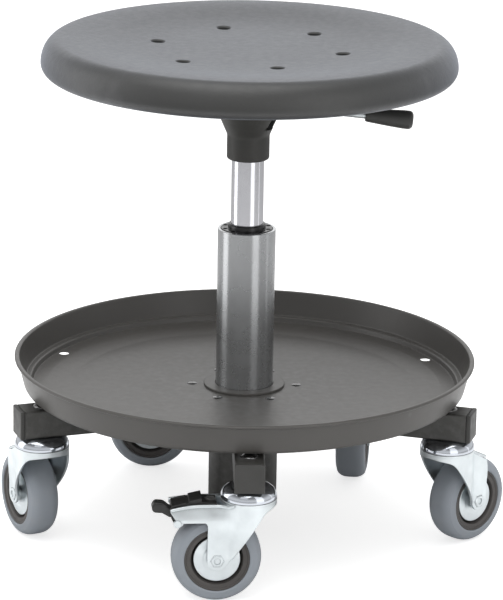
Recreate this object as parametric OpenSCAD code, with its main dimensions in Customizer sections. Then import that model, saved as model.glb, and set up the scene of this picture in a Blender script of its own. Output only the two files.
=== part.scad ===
// Height-adjustable workshop seat: a dished round seat on a gas spring, a round tool tray,
// and a five-legged base on swivel casters, the front one with a brake pedal.
// Millimetres, +Z up. The origin is the column's axis at floor level.

/* [Base] */
// Height of the legs' underside above the wheels' top
caster_rise = 23.2; // [22:0.1:32]
// Side of the square leg tube
leg_w = 25; // [22:1:28]
// Wall of the leg tube
leg_wall = 2; // [1.5:0.5:3]
// How far a leg shows beyond the tray's lip
leg_show = 5.8; // [2:0.1:12]
// Distance from the end of a leg to its caster's swivel axis
caster_inset = 22.3; // [21:0.1:24]
// Thickness of a leg cap's visible flange
cap_t = 4; // [3:0.5:6]
// Direction of the front leg
front_angle = -88.2; // [-100:0.1:-80]
// Wall of the hub tube around the column
hub_wall = 5; // [4:0.5:8]
// How far the hub tube reaches below the legs' top
hub_h = 105; // [90:1:110]
// Thickness of the flange that carries the tray
flange_t = 1.5; // [1:0.5:3]
// Width of the flange outside the tray's screws
flange_margin = 10.5; // [7:0.5:18]

/* [Tray] */
// Diameter of the tray over its lip
tray_d = 400; // [390:1:430]
// Height of the tray
tray_h = 29.8; // [26:0.1:40]
// Thickness of the tray
tray_t = 1.8; // [1.5:0.1:2.5]
// Rise of the tray's outer ring over its floor
tray_step = 2.6; // [2:0.1:4]
// Width of the collar around the column
collar_w = 10.3; // [8:0.1:12]
// Thickness of the collar around the column
collar_t = 2; // [1:0.5:3]
// Diameter of the circle of the tray's screws
tray_screw_pcd = 91; // [86:1:96]
// Diameter of the three holes near the tray's wall
tray_hole_d = 5; // [3:0.5:6]

/* [Column and gas spring] */
// Diameter of the column tube
column_d = 50; // [48:1:54]
// Wall of the column tube
column_wall = 2.5; // [2:0.1:3.5]
// Length of the column tube
column_l = 247.6; // [230:0.1:260]
// How far the guide bush stands out of the column
bush_proud = 4.7; // [3.5:0.1:7]
// Length of the guide bush
bush_l = 60; // [40:1:70]
// Diameter of the gas cylinder
gas_d = 28; // [26:1:30]
// Wall of the gas cylinder
gas_wall = 2; // [1.5:0.1:2.5]
// Diameter of the piston rod
rod_d = 10; // [8:1:12]
// Travel of the gas spring
lift_travel = 127; // [100:1:130]
// Height of the seat over its lowest position
lift_now = 55.9; // [0:0.1:100]
// Length of the gas cylinder below the seat bracket
gas_below = 220; // [200:1:230]

/* [Seat] */
// Diameter of the seat
seat_d = 355; // [330:1:400]
// Thickness of the seat at its crest
seat_h = 30; // [28:0.1:40]
// Depth of the dish in the seat
seat_dish = 10; // [8:0.5:16]
// Diameter of the seat's vent holes
vent_d = 11.5; // [8:0.5:14]
// Diameter of the circle of the seat's vent holes
vent_pcd = 161.6; // [150:0.2:180]
// Direction of the first vent hole
vent_angle = -13.3; // [-30:0.1:30]
// Diameter of the plate under the seat
plate_d = 136; // [124:1:144]
// Thickness of the plate under the seat
plate_t = 3; // [2:0.5:4]
// Wall of the seat bracket's socket around the gas cylinder
socket_wall = 4.3; // [3.5:0.1:6]
// Height of the straight part of the seat bracket
socket_h = 21.5; // [18:0.5:24]
// Height of the seat bracket
bracket_h = 71; // [69:0.5:76]
// Diameter of the seat bracket at its top
bracket_top_d = 80; // [76:1:96]
// Wall of the seat bracket's cone
bracket_wall = 3; // [2.5:0.5:4]

/* [Lever] */
// Distance from the seat's axis to the end of the lever's grip
lever_reach = 140.4; // [120:0.1:150]
// Length of the lever's grip
grip_l = 41; // [35:1:50]
// Diameter of the grip at its outer end
grip_d = 16; // [14:0.5:18]
// Diameter of the grip at its neck
grip_neck_d = 11; // [10:0.5:12]
// Diameter of the lever's rod
lever_rod_d = 6; // [5:0.5:7]
// Downward slope of the lever
lever_slope = 5.3; // [3:0.1:7]

/* [Casters] */
// Diameter of a wheel
wheel_d = 75; // [72:1:80]
// Width of a tyre
tyre_w = 27.4; // [25:0.1:28.5]
// Diameter of the dark wheel centre
core_d = 54.6; // [50:0.1:58]
// Diameter of the wheel's cover discs
disc_d = 39; // [34:1:40]
// Distance from the swivel's axis to the wheel's axle
trail = 26.5; // [24:0.1:28]
// Diameter of the chromed swivel dome
dome_d = 46.8; // [44:0.2:50]
// Height of the chromed swivel dome
dome_h = 9.5; // [8.5:0.1:11]
// Sheet thickness of the fork
fork_t = 2.5; // [2:0.1:3]
// Gap between a tyre and each cheek of its fork
tyre_side_gap = 1.6; // [1.2:0.1:3]
// Radius of the fork's cheek around the axle
boss_r = 8.3; // [7.5:0.1:9.5]
// Diameter of the axle's sleeve
axle_d = 12; // [11:0.5:13]

/* [Brake] */
// Reach of the fork's brake housing behind the axle
housing_l = 39.2; // [37:0.1:42]
// Height of the brake housing's cheeks
housing_h = 15.2; // [13:0.1:16]
// Gap between the pedal and each cheek of the housing
pedal_side_gap = 2.3; // [1:0.1:4]
// Diameter of the pedal's knob
knob_d = 8.4; // [8:0.2:10]
// Width of the pedal's knob
knob_w = 10.5; // [9:0.5:14]
// Height of the pedal's tab
tab_h = 3.4; // [3:0.1:5]

/* [Hidden] */
$fn = 96;

// Clearance of a running fit, on the radius
run_fit = 0.05;
// Gap between pieces that are welded, glued or pressed together
seat_gap = 0.05;
// Gap between faces that turn or slide past each other
slip = 0.3;
// Overrun of a cut past the face that it opens
over = 1;

// The five legs stand evenly around the hub, the front one first
leg_step = 360 / 5;
function leg_angle(k) = front_angle + k * leg_step;
// Direction in which each wheel trails behind its swivel, front, right, back right, back left, left
trail_angles = [185.5, 44.5, -96, 0, 117.5];

leg_z = wheel_d + caster_rise;
leg_top = leg_z + leg_w;
leg_reach = tray_d / 2 + leg_show;
caster_ring_r = leg_reach - caster_inset;
cap_plug_l = 10;
cap_bevel = 1.2;

column_r = column_d / 2;
column_bore_r = column_r - column_wall;
hub_r = column_r + hub_wall;
hub_bottom = leg_top - hub_h;
hub_lip = 2;
column_z = hub_bottom + hub_lip + seat_gap;
column_top = column_z + column_l;
column_edge = 0.6;
flange_top = leg_top + flange_t;
tray_floor = flange_top + tray_t;
gas_r = gas_d / 2;
rod_r = rod_d / 2;

// Guide bush: a raised ring around the gas cylinder, relief holes and a bevelled rim
bush_top = column_top + bush_proud;
bush_rim_proud = 0.6;
bush_bevel = 1;
bush_ring_w = 2.4;
bush_ring_taper = 1;
bush_hole_r = 2;
bush_hole_count = 10;
bush_hole_depth = 8;

// Lowest gap between the seat bracket and the guide bush
bracket_drop_gap = 1.2;
bracket_z = bush_top + bracket_drop_gap + lift_now;
socket_r = gas_r + socket_wall;
bracket_r = bracket_top_d / 2;
bracket_top = bracket_z + bracket_h;
bracket_foot_round = 2.5;
cone_z = bracket_z + socket_h;
cone_h = bracket_h - socket_h;
flare = (bracket_r - socket_r) / cone_h;
plate_top = bracket_top + plate_t;
seat_z = plate_top + slip;
seat_r = seat_d / 2;

// Gas cylinder: its taper sits in the bracket's socket
taper_h = 36;
taper_drop = 0.8;
gas_z = bracket_z - gas_below;
gas_top = bracket_z + taper_h;
gas_cap_t = 4;
gland_h = 12;
gland_inset = 2;
piston_h = 12;
// The piston stands just above the gland when the seat is at its highest
piston_gap = 6;
piston_z = gas_z + gland_inset + gland_h + lift_travel - lift_now + piston_gap;

// Foot of the piston rod
base_plate_inset = 4;
base_plate_t = 4;
base_plate_z = column_z + base_plate_inset;
clip_t = 2;
clip_r = 8;
bearing_t = 4;
bearing_r = 10;
shoulder_h = 4;
shoulder_r = 7;
rod_foot = 1;
// Axial play of a bearing
play = 0.1;

// Screws of the tray, which end level with the flange's underside
tray_screw_count = 6;
tray_screw_r = 2.5;
tray_screw_head_r = 4.4;
tray_screw_head_h = 2;
tray_screw_l = tray_t + flange_t - seat_gap;
screw_head_share = 0.7;

// Outline of the tray, from the lip inwards
lip_h = 3;
lip_w = 2.6;
wall_top_r = tray_d / 2 - lip_w;
wall_slope_share = 0.25;
wall_rise = tray_h - tray_step - lip_h;
wall_foot_r = wall_top_r - wall_slope_share * wall_rise;
corner_r = 4;
ring_outer_r = wall_foot_r - corner_r;
ring_margin = 4;
ring_ramp = 9;

// Caster bolts and kingpins
bolt_head_r = 7.5;
bolt_head_h = 3.4;
bolt_head_share = 0.6;
bolt_r = 4;
kingpin_r = 6;
kingpin_foot_r = 9;
kingpin_foot_h = 3.5;
ring_inner_r = caster_ring_r - bolt_head_r - ring_margin;

// Swivel
dome_r = dome_d / 2;
dome_z = leg_z - dome_h;
dome_t = 2;
dome_top_share = 0.66;
dome_top_r = dome_r * dome_top_share;
dome_steps = 8;
race_in = 9;
race_side_gap = 1.2;
race_out = dome_top_r - race_side_gap;

// Fork: bowl-shaped crown, flat web and two cheeks
crown_h = 6.4;
crown_lip = 0.1;
crown_top = dome_z - slip;
crown_z = crown_top - crown_h;
crown_r = dome_r + crown_lip;
crown_round = 1.2;
crown_bowl = 4.6;
crown_well_inset = 0.5;
axle_z = wheel_d / 2;
fork_gap = tyre_w + 2 * tyre_side_gap;
cheek_y = fork_gap / 2;
cheek_out = cheek_y + fork_t;
nose_share = 0.55;
bend_r = 3;
web_drop = 1.75;
web_z = crown_top - web_drop - fork_t;
cheek_top = web_z + fork_t - bend_r;
nose_x = -nose_share * crown_r;
heel_x = trail + boss_r;
// The cheek's straight leading edge runs from the crown to the tangent of the axle's boss
nose_run = [trail - nose_x, axle_z - crown_z];
edge_dir = atan2(nose_run[1], nose_run[0]) - asin(boss_r / norm(nose_run));
tangent_x = trail + boss_r * sin(edge_dir);
tangent_z = axle_z - boss_r * cos(edge_dir);

// Wheel
tyre_half = tyre_w / 2;
tyre_edge = 1;
tyre_drop_share = 0.19;
tyre_power = 4.4;
tyre_steps = 10;
core_r = core_d / 2;
core_half = tyre_half - tyre_edge;
core_rim = 1.3;
core_step = 1;
core_rim_r = core_r - core_rim;
disc_gap = 1.6;
core_well_r = disc_d / 2 + disc_gap;
core_well_half = 8.6;
core_web_half = 3.5;
core_hub_r = 11;
disc_r = disc_d / 2;
disc_out = 10.1;
disc_t = 1.2;
axle_r = axle_d / 2;
axle_bolt_r = 4;
axle_head_r = 6;
axle_head_h = 2.2;
axle_hollow_r = 2.6;
axle_hollow_depth = 5;

// Brake housing: the front fork's cheeks run on behind the wheel, with a rolled rim along the top
housing_x = trail + housing_l;
housing_drop = 1.5;
housing_top = crown_top - housing_drop;
housing_z = housing_top - housing_h;
housing_start = 10;
housing_fall_l = 19.8;
housing_fall_x = housing_x - housing_fall_l;
housing_tip_drop = 3;
housing_tip_h = 4.8;
housing_fillet = 3;
rim_h = 3.2;
rim_out = 1.25;
rim_high_share = 0.6;
rim_wide_share = 0.6;
rim_z = housing_top - rim_h / 2;
brake_pin_inset = 5.7;
brake_pin_drop = 0.3;
brake_pin_x = housing_x - brake_pin_inset;
brake_pin_z = housing_z - brake_pin_drop;
brake_pin_r = 2;
brake_pin_head_h = 1;
brake_pin_head_r = 3.2;
brake_lug_r = 4.2;

// Pedal, from the inner end over the tyre to the knob outside
pedal_w = fork_gap - 2 * pedal_side_gap;
pedal_in_gap = 4.5;
pedal_in_x = crown_r + pedal_in_gap;
pedal_rise = 1.3;
pedal_top = housing_top + pedal_rise;
pedal_lead = 0.8;
pedal_tip_drop = 3.7;
pedal_tip_z = pedal_top - pedal_tip_drop;
pedal_tip_h = 10.5;
pedal_boss = 2;
tab_back = 24.7;
tab_x = housing_x - tab_back;
tab_l = 10;
tab_slope = 2.7;
tab_foot_drop = 0.9;
neck_l = 6;
neck_drop = 2.1;
neck_share = 0.7;
knob_r = knob_d / 2;
knob_out = 10.5;
knob_drop = 4.6;
knob_x = housing_x + knob_out;
knob_z = housing_top - knob_drop;
shoe_back = 3;
shoe_l = 9;
shoe_lift = 4;
shoe_lead = 2;
shoe_x = trail + shoe_back;
shoe_z = wheel_d + shoe_lift;

// Lever
lever_pivot_x = 14;
lever_pivot_rise = 11.5;
lever_pivot_z = gas_top + lever_pivot_rise;
lever_pin_r = 2;
lever_pin_inset = 0.8;
lever_nose = 18;
lever_nose_w = 10;
lever_boss_r = 5.5;
grip_round = 4;
grip_lead = 1;
grip_swell_share = 0.55;
grip_waist = 0.8;
grip_bore_l = 24;
release_r = 4;
release_in = 14;
bracket_floor_t = 1.5;
window_wall = 1.4;
window_x = gas_r + window_wall;
window_w = 32;
window_up = 27.4;
window_over = 9;
window_z = bracket_z + window_up;
window_top = lever_pivot_z + window_over;

// Seat
crest_share = 0.909;
rim_low_share = 0.943;
rim_low_h_share = 0.31;
dish_power = 3.7;
dish_steps = 16;
rim_steps = 8;
seat_screw_count = 4;
seat_screw_r = 2.5;
seat_screw_head_r = 5;
seat_screw_head_h = 2.5;
seat_screw_l = 14;
seat_screw_margin = 12;
seat_screw_ring_r = plate_d / 2 - seat_screw_margin;

// Points of an elliptic arc around a centre, from angle a to angle b
function arc(cx, cy, rx, ry, a, b, n) = [
    for (i = [0:n]) let (t = a + (b - a) * i / n) [cx + rx * cos(t), cy + ry * sin(t)]
];

// A place on leg k, with +X along the leg
module at_leg(k) {
    rotate([0, 0, leg_angle(k)]) children();
}

// A place in the frame of caster k: swivel axis at x = 0, wheel trailing towards +X
module at_caster(k) {
    at_leg(k)
        translate([caster_ring_r, 0, 0])
            rotate([0, 0, trail_angles[k] - leg_angle(k)])
                children();
}

// A thing and its mirror image across the XZ plane
module both_sides() {
    children();
    mirror([0, 1, 0]) children();
}

// A bar along Y with the given outline in X and Z
module plate_y(y0, y1, points) {
    translate([0, y1, 0])
        rotate([90, 0, 0])
            linear_extrude(height = y1 - y0)
                polygon(points);
}

// A cylinder along Y between two places
module rod_y(x, z, y0, y1, r) {
    translate([x, y1, z])
        rotate([90, 0, 0])
            cylinder(h = y1 - y0, r = r);
}

// A round disc of thickness h that starts at z = 0, with a bore through it
module ring(h, outer, bore) {
    difference() {
        cylinder(h = h, r = outer);
        translate([0, 0, -over])
            cylinder(h = h + 2 * over, r = bore);
    }
}

module hub_tube() {
    color("#3b3c3a")
        translate([0, 0, hub_bottom])
            difference() {
                cylinder(h = hub_h, r = hub_r);
                translate([0, 0, hub_lip])
                    cylinder(h = hub_h, r = column_r + slip);
                translate([0, 0, -over])
                    cylinder(h = hub_lip + 2 * over, r = column_bore_r);
            }
}

module hub_flange() {
    color("#3b3c3a")
        translate([0, 0, leg_top])
            difference() {
                ring(flange_t, tray_screw_pcd / 2 + flange_margin, column_r + slip);
                screw_ring(flange_t, tray_screw_r + seat_gap);
            }
}

// Holes for the tray's screws through a plate of thickness t that starts at z = 0
module screw_ring(t, r) {
    for (i = [0:tray_screw_count - 1])
        rotate([0, 0, i * 360 / tray_screw_count])
            translate([tray_screw_pcd / 2, 0, -over])
                cylinder(h = t + 2 * over, r = r);
}

module leg(k) {
    color("#434442")
        at_leg(k)
            difference() {
                translate([0, -leg_w / 2, leg_z])
                    cube([leg_reach - cap_t, leg_w, leg_w]);
                translate([0, -leg_w / 2 + leg_wall, leg_z + leg_wall])
                    cube([leg_reach, leg_w - 2 * leg_wall, leg_w - 2 * leg_wall]);
                translate([0, 0, leg_z - over])
                    cylinder(h = leg_w + 2 * over, r = hub_r + seat_gap);
                translate([caster_ring_r, 0, leg_z - over])
                    cylinder(h = leg_w + 2 * over, r = bolt_r + seat_gap);
            }
}

// End plugs: a flange with bevelled edges and a plug inside the tube
module leg_caps() {
    plug = leg_w - 2 * leg_wall - 2 * seat_gap;
    cap_x = leg_reach - cap_t + seat_gap;
    color("#4b4c4a")
        for (k = [0:4])
            at_leg(k)
                translate([0, 0, leg_z]) {
                    intersection() {
                        plate_y(-leg_w / 2, leg_w / 2, cap_outline(cap_x, 0));
                        linear_extrude(height = leg_w)
                            polygon(cap_outline(cap_x, -leg_w / 2));
                    }
                    translate([cap_x - cap_plug_l, -plug / 2, (leg_w - plug) / 2])
                        cube([cap_plug_l + seat_gap, plug, plug]);
                }
}

// Side of a cap's flange, which starts at low and is as wide as the leg
function cap_outline(cap_x, low) = [
    [cap_x, low],
    [leg_reach - cap_bevel, low],
    [leg_reach, low + cap_bevel],
    [leg_reach, low + leg_w - cap_bevel],
    [leg_reach - cap_bevel, low + leg_w],
    [cap_x, low + leg_w],
];

module tray() {
    z0 = flange_top;
    z1 = z0 + tray_step;
    top = z0 + tray_h;
    color("#5b5c5a")
        difference() {
            rotate_extrude($fn = 144)
                polygon(concat(
                    [
                        [column_r + slip, z0],
                        [ring_inner_r - ring_ramp, z0],
                        [ring_inner_r, z1],
                    ],
                    arc(ring_outer_r, z1 + corner_r, corner_r, corner_r, -90, 0, 4),
                    [[wall_top_r, top - lip_h]],
                    arc(wall_top_r + lip_w / 2, top - lip_h / 2, lip_w / 2, lip_h / 2, -90, 90, 6),
                    [
                        [wall_top_r - tray_t / 2, top],
                        [wall_top_r - tray_t, top - lip_h / 2],
                    ],
                    arc(ring_outer_r, z1 + corner_r, corner_r - tray_t, corner_r - tray_t, 0, -90, 4),
                    [
                        [ring_inner_r, z1 + tray_t],
                        [ring_inner_r - ring_ramp, z0 + tray_t],
                        [column_r + slip, z0 + tray_t],
                    ]
                ));
            translate([0, 0, z0])
                screw_ring(tray_t, tray_screw_r + seat_gap);
            for (a = [30, 150, 270])
                rotate([0, 0, a])
                    translate([(ring_inner_r + ring_outer_r) / 2, 0, z0 - over])
                        cylinder(h = tray_h, d = tray_hole_d);
        }
}

module tray_screws() {
    color("#c9ccce")
        for (i = [0:tray_screw_count - 1])
            rotate([0, 0, i * 360 / tray_screw_count])
                translate([tray_screw_pcd / 2, 0, tray_floor]) {
                    cylinder(
                        h = tray_screw_head_h,
                        r1 = tray_screw_head_r,
                        r2 = tray_screw_head_r * screw_head_share
                    );
                    translate([0, 0, -tray_screw_l])
                        cylinder(h = tray_screw_l + seat_gap, r = tray_screw_r);
                }
}

module column_collar() {
    color("#5b5c5a")
        translate([0, 0, tray_floor])
            ring(collar_t, column_r + collar_w, column_r + slip);
}

module column_tube() {
    color("#a9acae")
        rotate_extrude()
            polygon([
                [column_bore_r, column_z],
                [column_r, column_z],
                [column_r, column_top - column_edge],
                [column_r - column_edge, column_top],
                [column_bore_r, column_top],
            ]);
}

module guide_bush() {
    bush_r = column_bore_r - seat_gap;
    ring_r = gas_r + bush_ring_w;
    face = column_top + bush_rim_proud;
    color("#2b2c2b")
        difference() {
            rotate_extrude()
                polygon([
                    [gas_r + run_fit, bush_top - bush_l],
                    [bush_r, bush_top - bush_l],
                    [bush_r, face - bush_bevel],
                    [bush_r - bush_bevel, face],
                    [ring_r, face],
                    [ring_r - bush_ring_taper, bush_top],
                    [gas_r + run_fit, bush_top],
                ]);
            for (i = [0:bush_hole_count - 1])
                rotate([0, 0, (i + 0.5) * 360 / bush_hole_count])
                    translate([(bush_r + ring_r) / 2, 0, face - bush_hole_depth])
                        cylinder(h = bush_hole_depth + over, r = bush_hole_r);
        }
}

module column_base() {
    color("#8f9193")
        translate([0, 0, base_plate_z])
            ring(base_plate_t, column_bore_r - seat_gap, rod_r + run_fit);
}

module caster_bolts() {
    color("#c9ccce")
        for (k = [0:4])
            at_caster(k) {
                translate([0, 0, leg_top])
                    cylinder(h = bolt_head_h, r1 = bolt_head_r, r2 = bolt_head_r * bolt_head_share);
                translate([0, 0, leg_z - dome_h / 2])
                    cylinder(h = leg_w + dome_h / 2 + seat_gap, r = bolt_r);
            }
}

module kingpins() {
    foot_z = crown_top - fork_t - play - kingpin_foot_h;
    color("#b9bcbe")
        for (k = [0:4])
            at_caster(k)
                difference() {
                    union() {
                        translate([0, 0, foot_z])
                            cylinder(h = leg_z - foot_z, r = kingpin_r);
                        translate([0, 0, foot_z])
                            cylinder(h = kingpin_foot_h, r = kingpin_foot_r);
                    }
                    translate([0, 0, leg_z - dome_h / 2 - over])
                        cylinder(h = dome_h, r = bolt_r + seat_gap);
                }
}

module swivel_domes() {
    side = dome_r - dome_top_r;
    shell = arc(dome_top_r, dome_z, side, dome_h, 0, 90, dome_steps);
    well = arc(dome_top_r - dome_t, dome_z, side, dome_h - dome_t, 90, 0, dome_steps);
    color("#d4d8dc")
        for (k = [0:4])
            at_caster(k)
                rotate_extrude()
                    polygon(concat(
                        shell,
                        [[kingpin_r + seat_gap, leg_z], [kingpin_r + seat_gap, leg_z - dome_t]],
                        well
                    ));
}

module swivel_races() {
    color("#7d8082")
        for (k = [0:4])
            at_caster(k)
                translate([0, 0, crown_top + play])
                    ring(leg_z - dome_t - crown_top - 2 * play, race_out, race_in);
}

module piston_rod() {
    foot = base_plate_z - play - clip_t - rod_foot;
    color("#c4c7ca") {
        translate([0, 0, foot])
            cylinder(h = piston_z - foot + seat_gap, r = rod_r);
        translate([0, 0, base_plate_z + base_plate_t + play + bearing_t])
            cylinder(h = shoulder_h, r = shoulder_r);
        translate([0, 0, piston_z])
            cylinder(h = piston_h, r = gas_r - gas_wall - run_fit);
    }
}

module rod_clip() {
    color("#8f9193")
        translate([0, 0, base_plate_z - play - clip_t])
            ring(clip_t, clip_r, rod_r + seat_gap);
}

module thrust_bearing() {
    color("#b0b3b6")
        translate([0, 0, base_plate_z + base_plate_t + play])
            ring(bearing_t, bearing_r, rod_r + seat_gap);
}

module gas_cylinder() {
    color("#c4c7ca")
        difference() {
            union() {
                translate([0, 0, gas_z])
                    cylinder(h = gas_below + seat_gap, r = gas_r);
                translate([0, 0, bracket_z])
                    cylinder(h = taper_h, r1 = gas_r, r2 = gas_r - taper_drop);
            }
            translate([0, 0, gas_z - over])
                cylinder(h = gas_top - gas_cap_t - gas_z + over, r = gas_r - gas_wall);
            translate([0, 0, gas_top - gas_cap_t - over])
                cylinder(h = gas_cap_t + 2 * over, r = release_r + run_fit);
        }
}

module cylinder_gland() {
    color("#2b2c2b")
        translate([0, 0, gas_z + gland_inset])
            ring(gland_h, gas_r - gas_wall - seat_gap, rod_r + run_fit);
}

// Seat bracket: a socket on the gas cylinder's taper, opening into a cone that holds the lever
module seat_bracket() {
    floor_z = gas_top + bracket_floor_t;
    floor_r = socket_r + flare * (floor_z - cone_z) - bracket_wall;
    taper_end_r = gas_r - taper_drop + seat_gap;
    foot = bracket_foot_round;
    color("#2e2f2d")
        difference() {
            rotate_extrude()
                polygon(concat(
                    [[0, bracket_z]],
                    arc(socket_r - foot, bracket_z + foot, foot, foot, -90, 0, 4),
                    [[socket_r, cone_z], [bracket_r, bracket_top], [0, bracket_top]]
                ));
            translate([0, 0, bracket_z - over])
                cylinder(h = over + seat_gap, r = gas_r + seat_gap);
            translate([0, 0, bracket_z])
                cylinder(h = taper_h, r1 = gas_r + seat_gap, r2 = taper_end_r);
            translate([0, 0, gas_top - seat_gap])
                cylinder(h = floor_z - gas_top + over, r = taper_end_r);
            translate([0, 0, floor_z])
                cylinder(h = bracket_top - floor_z, r1 = floor_r, r2 = bracket_r - bracket_wall);
            translate([0, 0, bracket_top - seat_gap])
                cylinder(h = over, r = bracket_r - bracket_wall);
            translate([window_x, -window_w / 2, window_z])
                cube([bracket_r, window_w, window_top - window_z]);
            rod_y(lever_pivot_x, lever_pivot_z, -bracket_r, bracket_r, lever_pin_r + seat_gap);
        }
}

module seat_plate() {
    color("#2e2f2d")
        translate([0, 0, bracket_top])
            difference() {
                cylinder(h = plate_t, d = plate_d);
                seat_screw_places()
                    translate([0, 0, -over])
                        cylinder(h = plate_t + 2 * over, r = seat_screw_r + seat_gap);
            }
}

module seat_screw_places() {
    for (i = [0:seat_screw_count - 1])
        rotate([0, 0, (i + 0.5) * 360 / seat_screw_count])
            translate([seat_screw_ring_r, 0, 0])
                children();
}

module seat_screws() {
    color("#b9bcbe")
        translate([0, 0, bracket_top])
            seat_screw_places() {
                translate([0, 0, -seat_screw_head_h])
                    cylinder(
                        h = seat_screw_head_h,
                        r1 = seat_screw_head_r * screw_head_share,
                        r2 = seat_screw_head_r
                    );
                translate([0, 0, -seat_gap])
                    cylinder(h = seat_screw_l, r = seat_screw_r);
            }
}

// Seat: dished top, full rolled edge, flat underside, six vent holes right through
module seat() {
    crest_r = crest_share * seat_r;
    widest_z = seat_h * rim_low_h_share;
    low_r = rim_low_share * seat_r;
    smooth = function(s) s * s * (3 - 2 * s);
    dish = [
        for (i = [0:dish_steps - 1])
            let (s = i / dish_steps)
                [s * crest_r, seat_h - seat_dish + seat_dish * pow(smooth(s), dish_power)]
    ];
    color("#474845")
        translate([0, 0, seat_z])
            difference() {
                rotate_extrude($fn = 144)
                    polygon(concat(
                        dish,
                        arc(crest_r, widest_z, seat_r - crest_r, seat_h - widest_z, 90, 0, rim_steps),
                        arc(low_r, widest_z, seat_r - low_r, widest_z, 0, -90, rim_steps / 2),
                        [[0, 0]]
                    ));
                for (i = [0:5])
                    rotate([0, 0, vent_angle + 60 * i])
                        translate([vent_pcd / 2, 0, -over])
                            cylinder(h = seat_h + 2 * over, d = vent_d);
                seat_screw_places()
                    translate([0, 0, -over])
                        cylinder(h = seat_screw_l - plate_t + over, r = seat_screw_r + seat_gap);
            }
}

// Pivot pin of the lever, its ends a little below the bracket's surface
module lever_pin() {
    r = socket_r + flare * (lever_pivot_z - cone_z) - lever_pin_inset;
    half = sqrt(r * r - lever_pivot_x * lever_pivot_x) - lever_pin_r / 2;
    color("#b9bcbe")
        rod_y(lever_pivot_x, lever_pivot_z, -half, half, lever_pin_r);
}

// A place in the lever's own frame: pivot at the origin, grip towards +X
module at_lever() {
    translate([lever_pivot_x, 0, lever_pivot_z])
        rotate([0, lever_slope, 0])
            children();
}

// The grip's outer end, measured along the lever from its pivot
lever_l = (lever_reach - lever_pivot_x) / cos(lever_slope);

module lever_arm() {
    color("#b9bcbe")
        at_lever()
            difference() {
                union() {
                    translate([-lever_nose, -lever_nose_w / 2, -lever_rod_d / 2])
                        cube([lever_nose + lever_boss_r, lever_nose_w, lever_rod_d]);
                    rod_y(0, 0, -lever_nose_w / 2, lever_nose_w / 2, lever_boss_r);
                    rotate([0, 90, 0])
                        cylinder(h = lever_l - grip_l + grip_bore_l, d = lever_rod_d);
                }
                rod_y(0, 0, -lever_nose_w, lever_nose_w, lever_pin_r + run_fit);
            }
}

module lever_grip() {
    neck_r = grip_neck_d / 2;
    end_r = grip_d / 2;
    hole_r = lever_rod_d / 2 + seat_gap;
    color("#3a3b39")
        at_lever()
            translate([lever_l - grip_l, 0, 0])
                rotate([0, 90, 0])
                    rotate_extrude($fn = 48)
                        polygon(concat(
                            [
                                [hole_r, 0],
                                [neck_r - grip_lead, 0],
                                [neck_r, grip_lead],
                                [end_r - grip_waist, grip_l * grip_swell_share],
                            ],
                            arc(end_r - grip_round, grip_l - grip_round, grip_round, grip_round, 0, 90, 5),
                            [[0, grip_l], [0, grip_bore_l + seat_gap], [hole_r, grip_bore_l + seat_gap]]
                        ));
}

// Lowest point of the lever's nose over the release pin
nose_low = lever_pivot_z + (lever_pivot_x - release_r) * tan(lever_slope) - lever_rod_d / 2 / cos(lever_slope);

module release_pin() {
    color("#8f9193")
        translate([0, 0, gas_top - release_in])
            cylinder(h = nose_low - slip - gas_top + release_in, r = release_r);
}

// Outline of one cheek of a fork, in X and Z
cheek_points = [
    [nose_x, cheek_top],
    [nose_x, crown_z],
    [tangent_x, tangent_z],
    [trail, axle_z],
    [heel_x, axle_z],
    [heel_x, cheek_top],
];

// Crown, web and both cheeks, as every caster has them
module fork_shell(web_end) {
    difference() {
        union() {
            crown();
            translate([nose_x, -cheek_out + bend_r, web_z])
                cube([web_end - nose_x, 2 * (cheek_out - bend_r), fork_t]);
            both_sides()
                bend(web_end);
        }
        translate([0, 0, crown_z - over])
            cylinder(h = crown_h - fork_t + over, r = cheek_y - crown_well_inset);
    }
    both_sides() {
        plate_y(cheek_y, cheek_out, cheek_points);
        rod_y(trail, axle_z, cheek_y, cheek_out, boss_r);
    }
}

module crown() {
    bowl_r = crown_r - crown_bowl;
    top_r = crown_r - crown_round;
    rotate_extrude()
        polygon(concat(
            [[0, crown_z]],
            arc(bowl_r, crown_z + crown_bowl, crown_bowl, crown_bowl, -90, 0, 5),
            arc(top_r, crown_top - crown_round, crown_round, crown_round, 0, 90, 3),
            [[0, crown_top]]
        ));
}

// Rounded edge between the web and a cheek
module bend(web_end) {
    bend_z = web_z + fork_t - bend_r;
    intersection() {
        translate([nose_x, cheek_out - bend_r, bend_z])
            rotate([0, 90, 0])
                ring(web_end - nose_x, bend_r, bend_r - fork_t);
        translate([nose_x, cheek_out - bend_r, bend_z])
            cube([web_end - nose_x, bend_r, bend_r]);
    }
}

module fork_holes() {
    translate([0, 0, crown_z - over])
        cylinder(h = crown_h + 2 * over, r = kingpin_r + run_fit);
    rod_y(trail, axle_z, -cheek_out - over, cheek_out + over, axle_bolt_r + seat_gap);
}

module plain_fork(k) {
    color("#cfd3d4")
        at_caster(k)
            difference() {
                fork_shell(heel_x);
                fork_holes();
            }
}

// Fork with the brake housing behind its wheel
module fork_front() {
    color("#cfd3d4")
        at_caster(0)
            difference() {
                union() {
                    fork_shell(crown_r);
                    both_sides() {
                        plate_y(cheek_y, cheek_out, housing_points);
                        rod_y(brake_pin_x, brake_pin_z, cheek_y, cheek_out, brake_lug_r);
                        rolled_rim();
                    }
                }
                fork_holes();
                rod_y(brake_pin_x, brake_pin_z, -cheek_out - over, cheek_out + over, brake_pin_r + seat_gap);
            }
}

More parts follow.
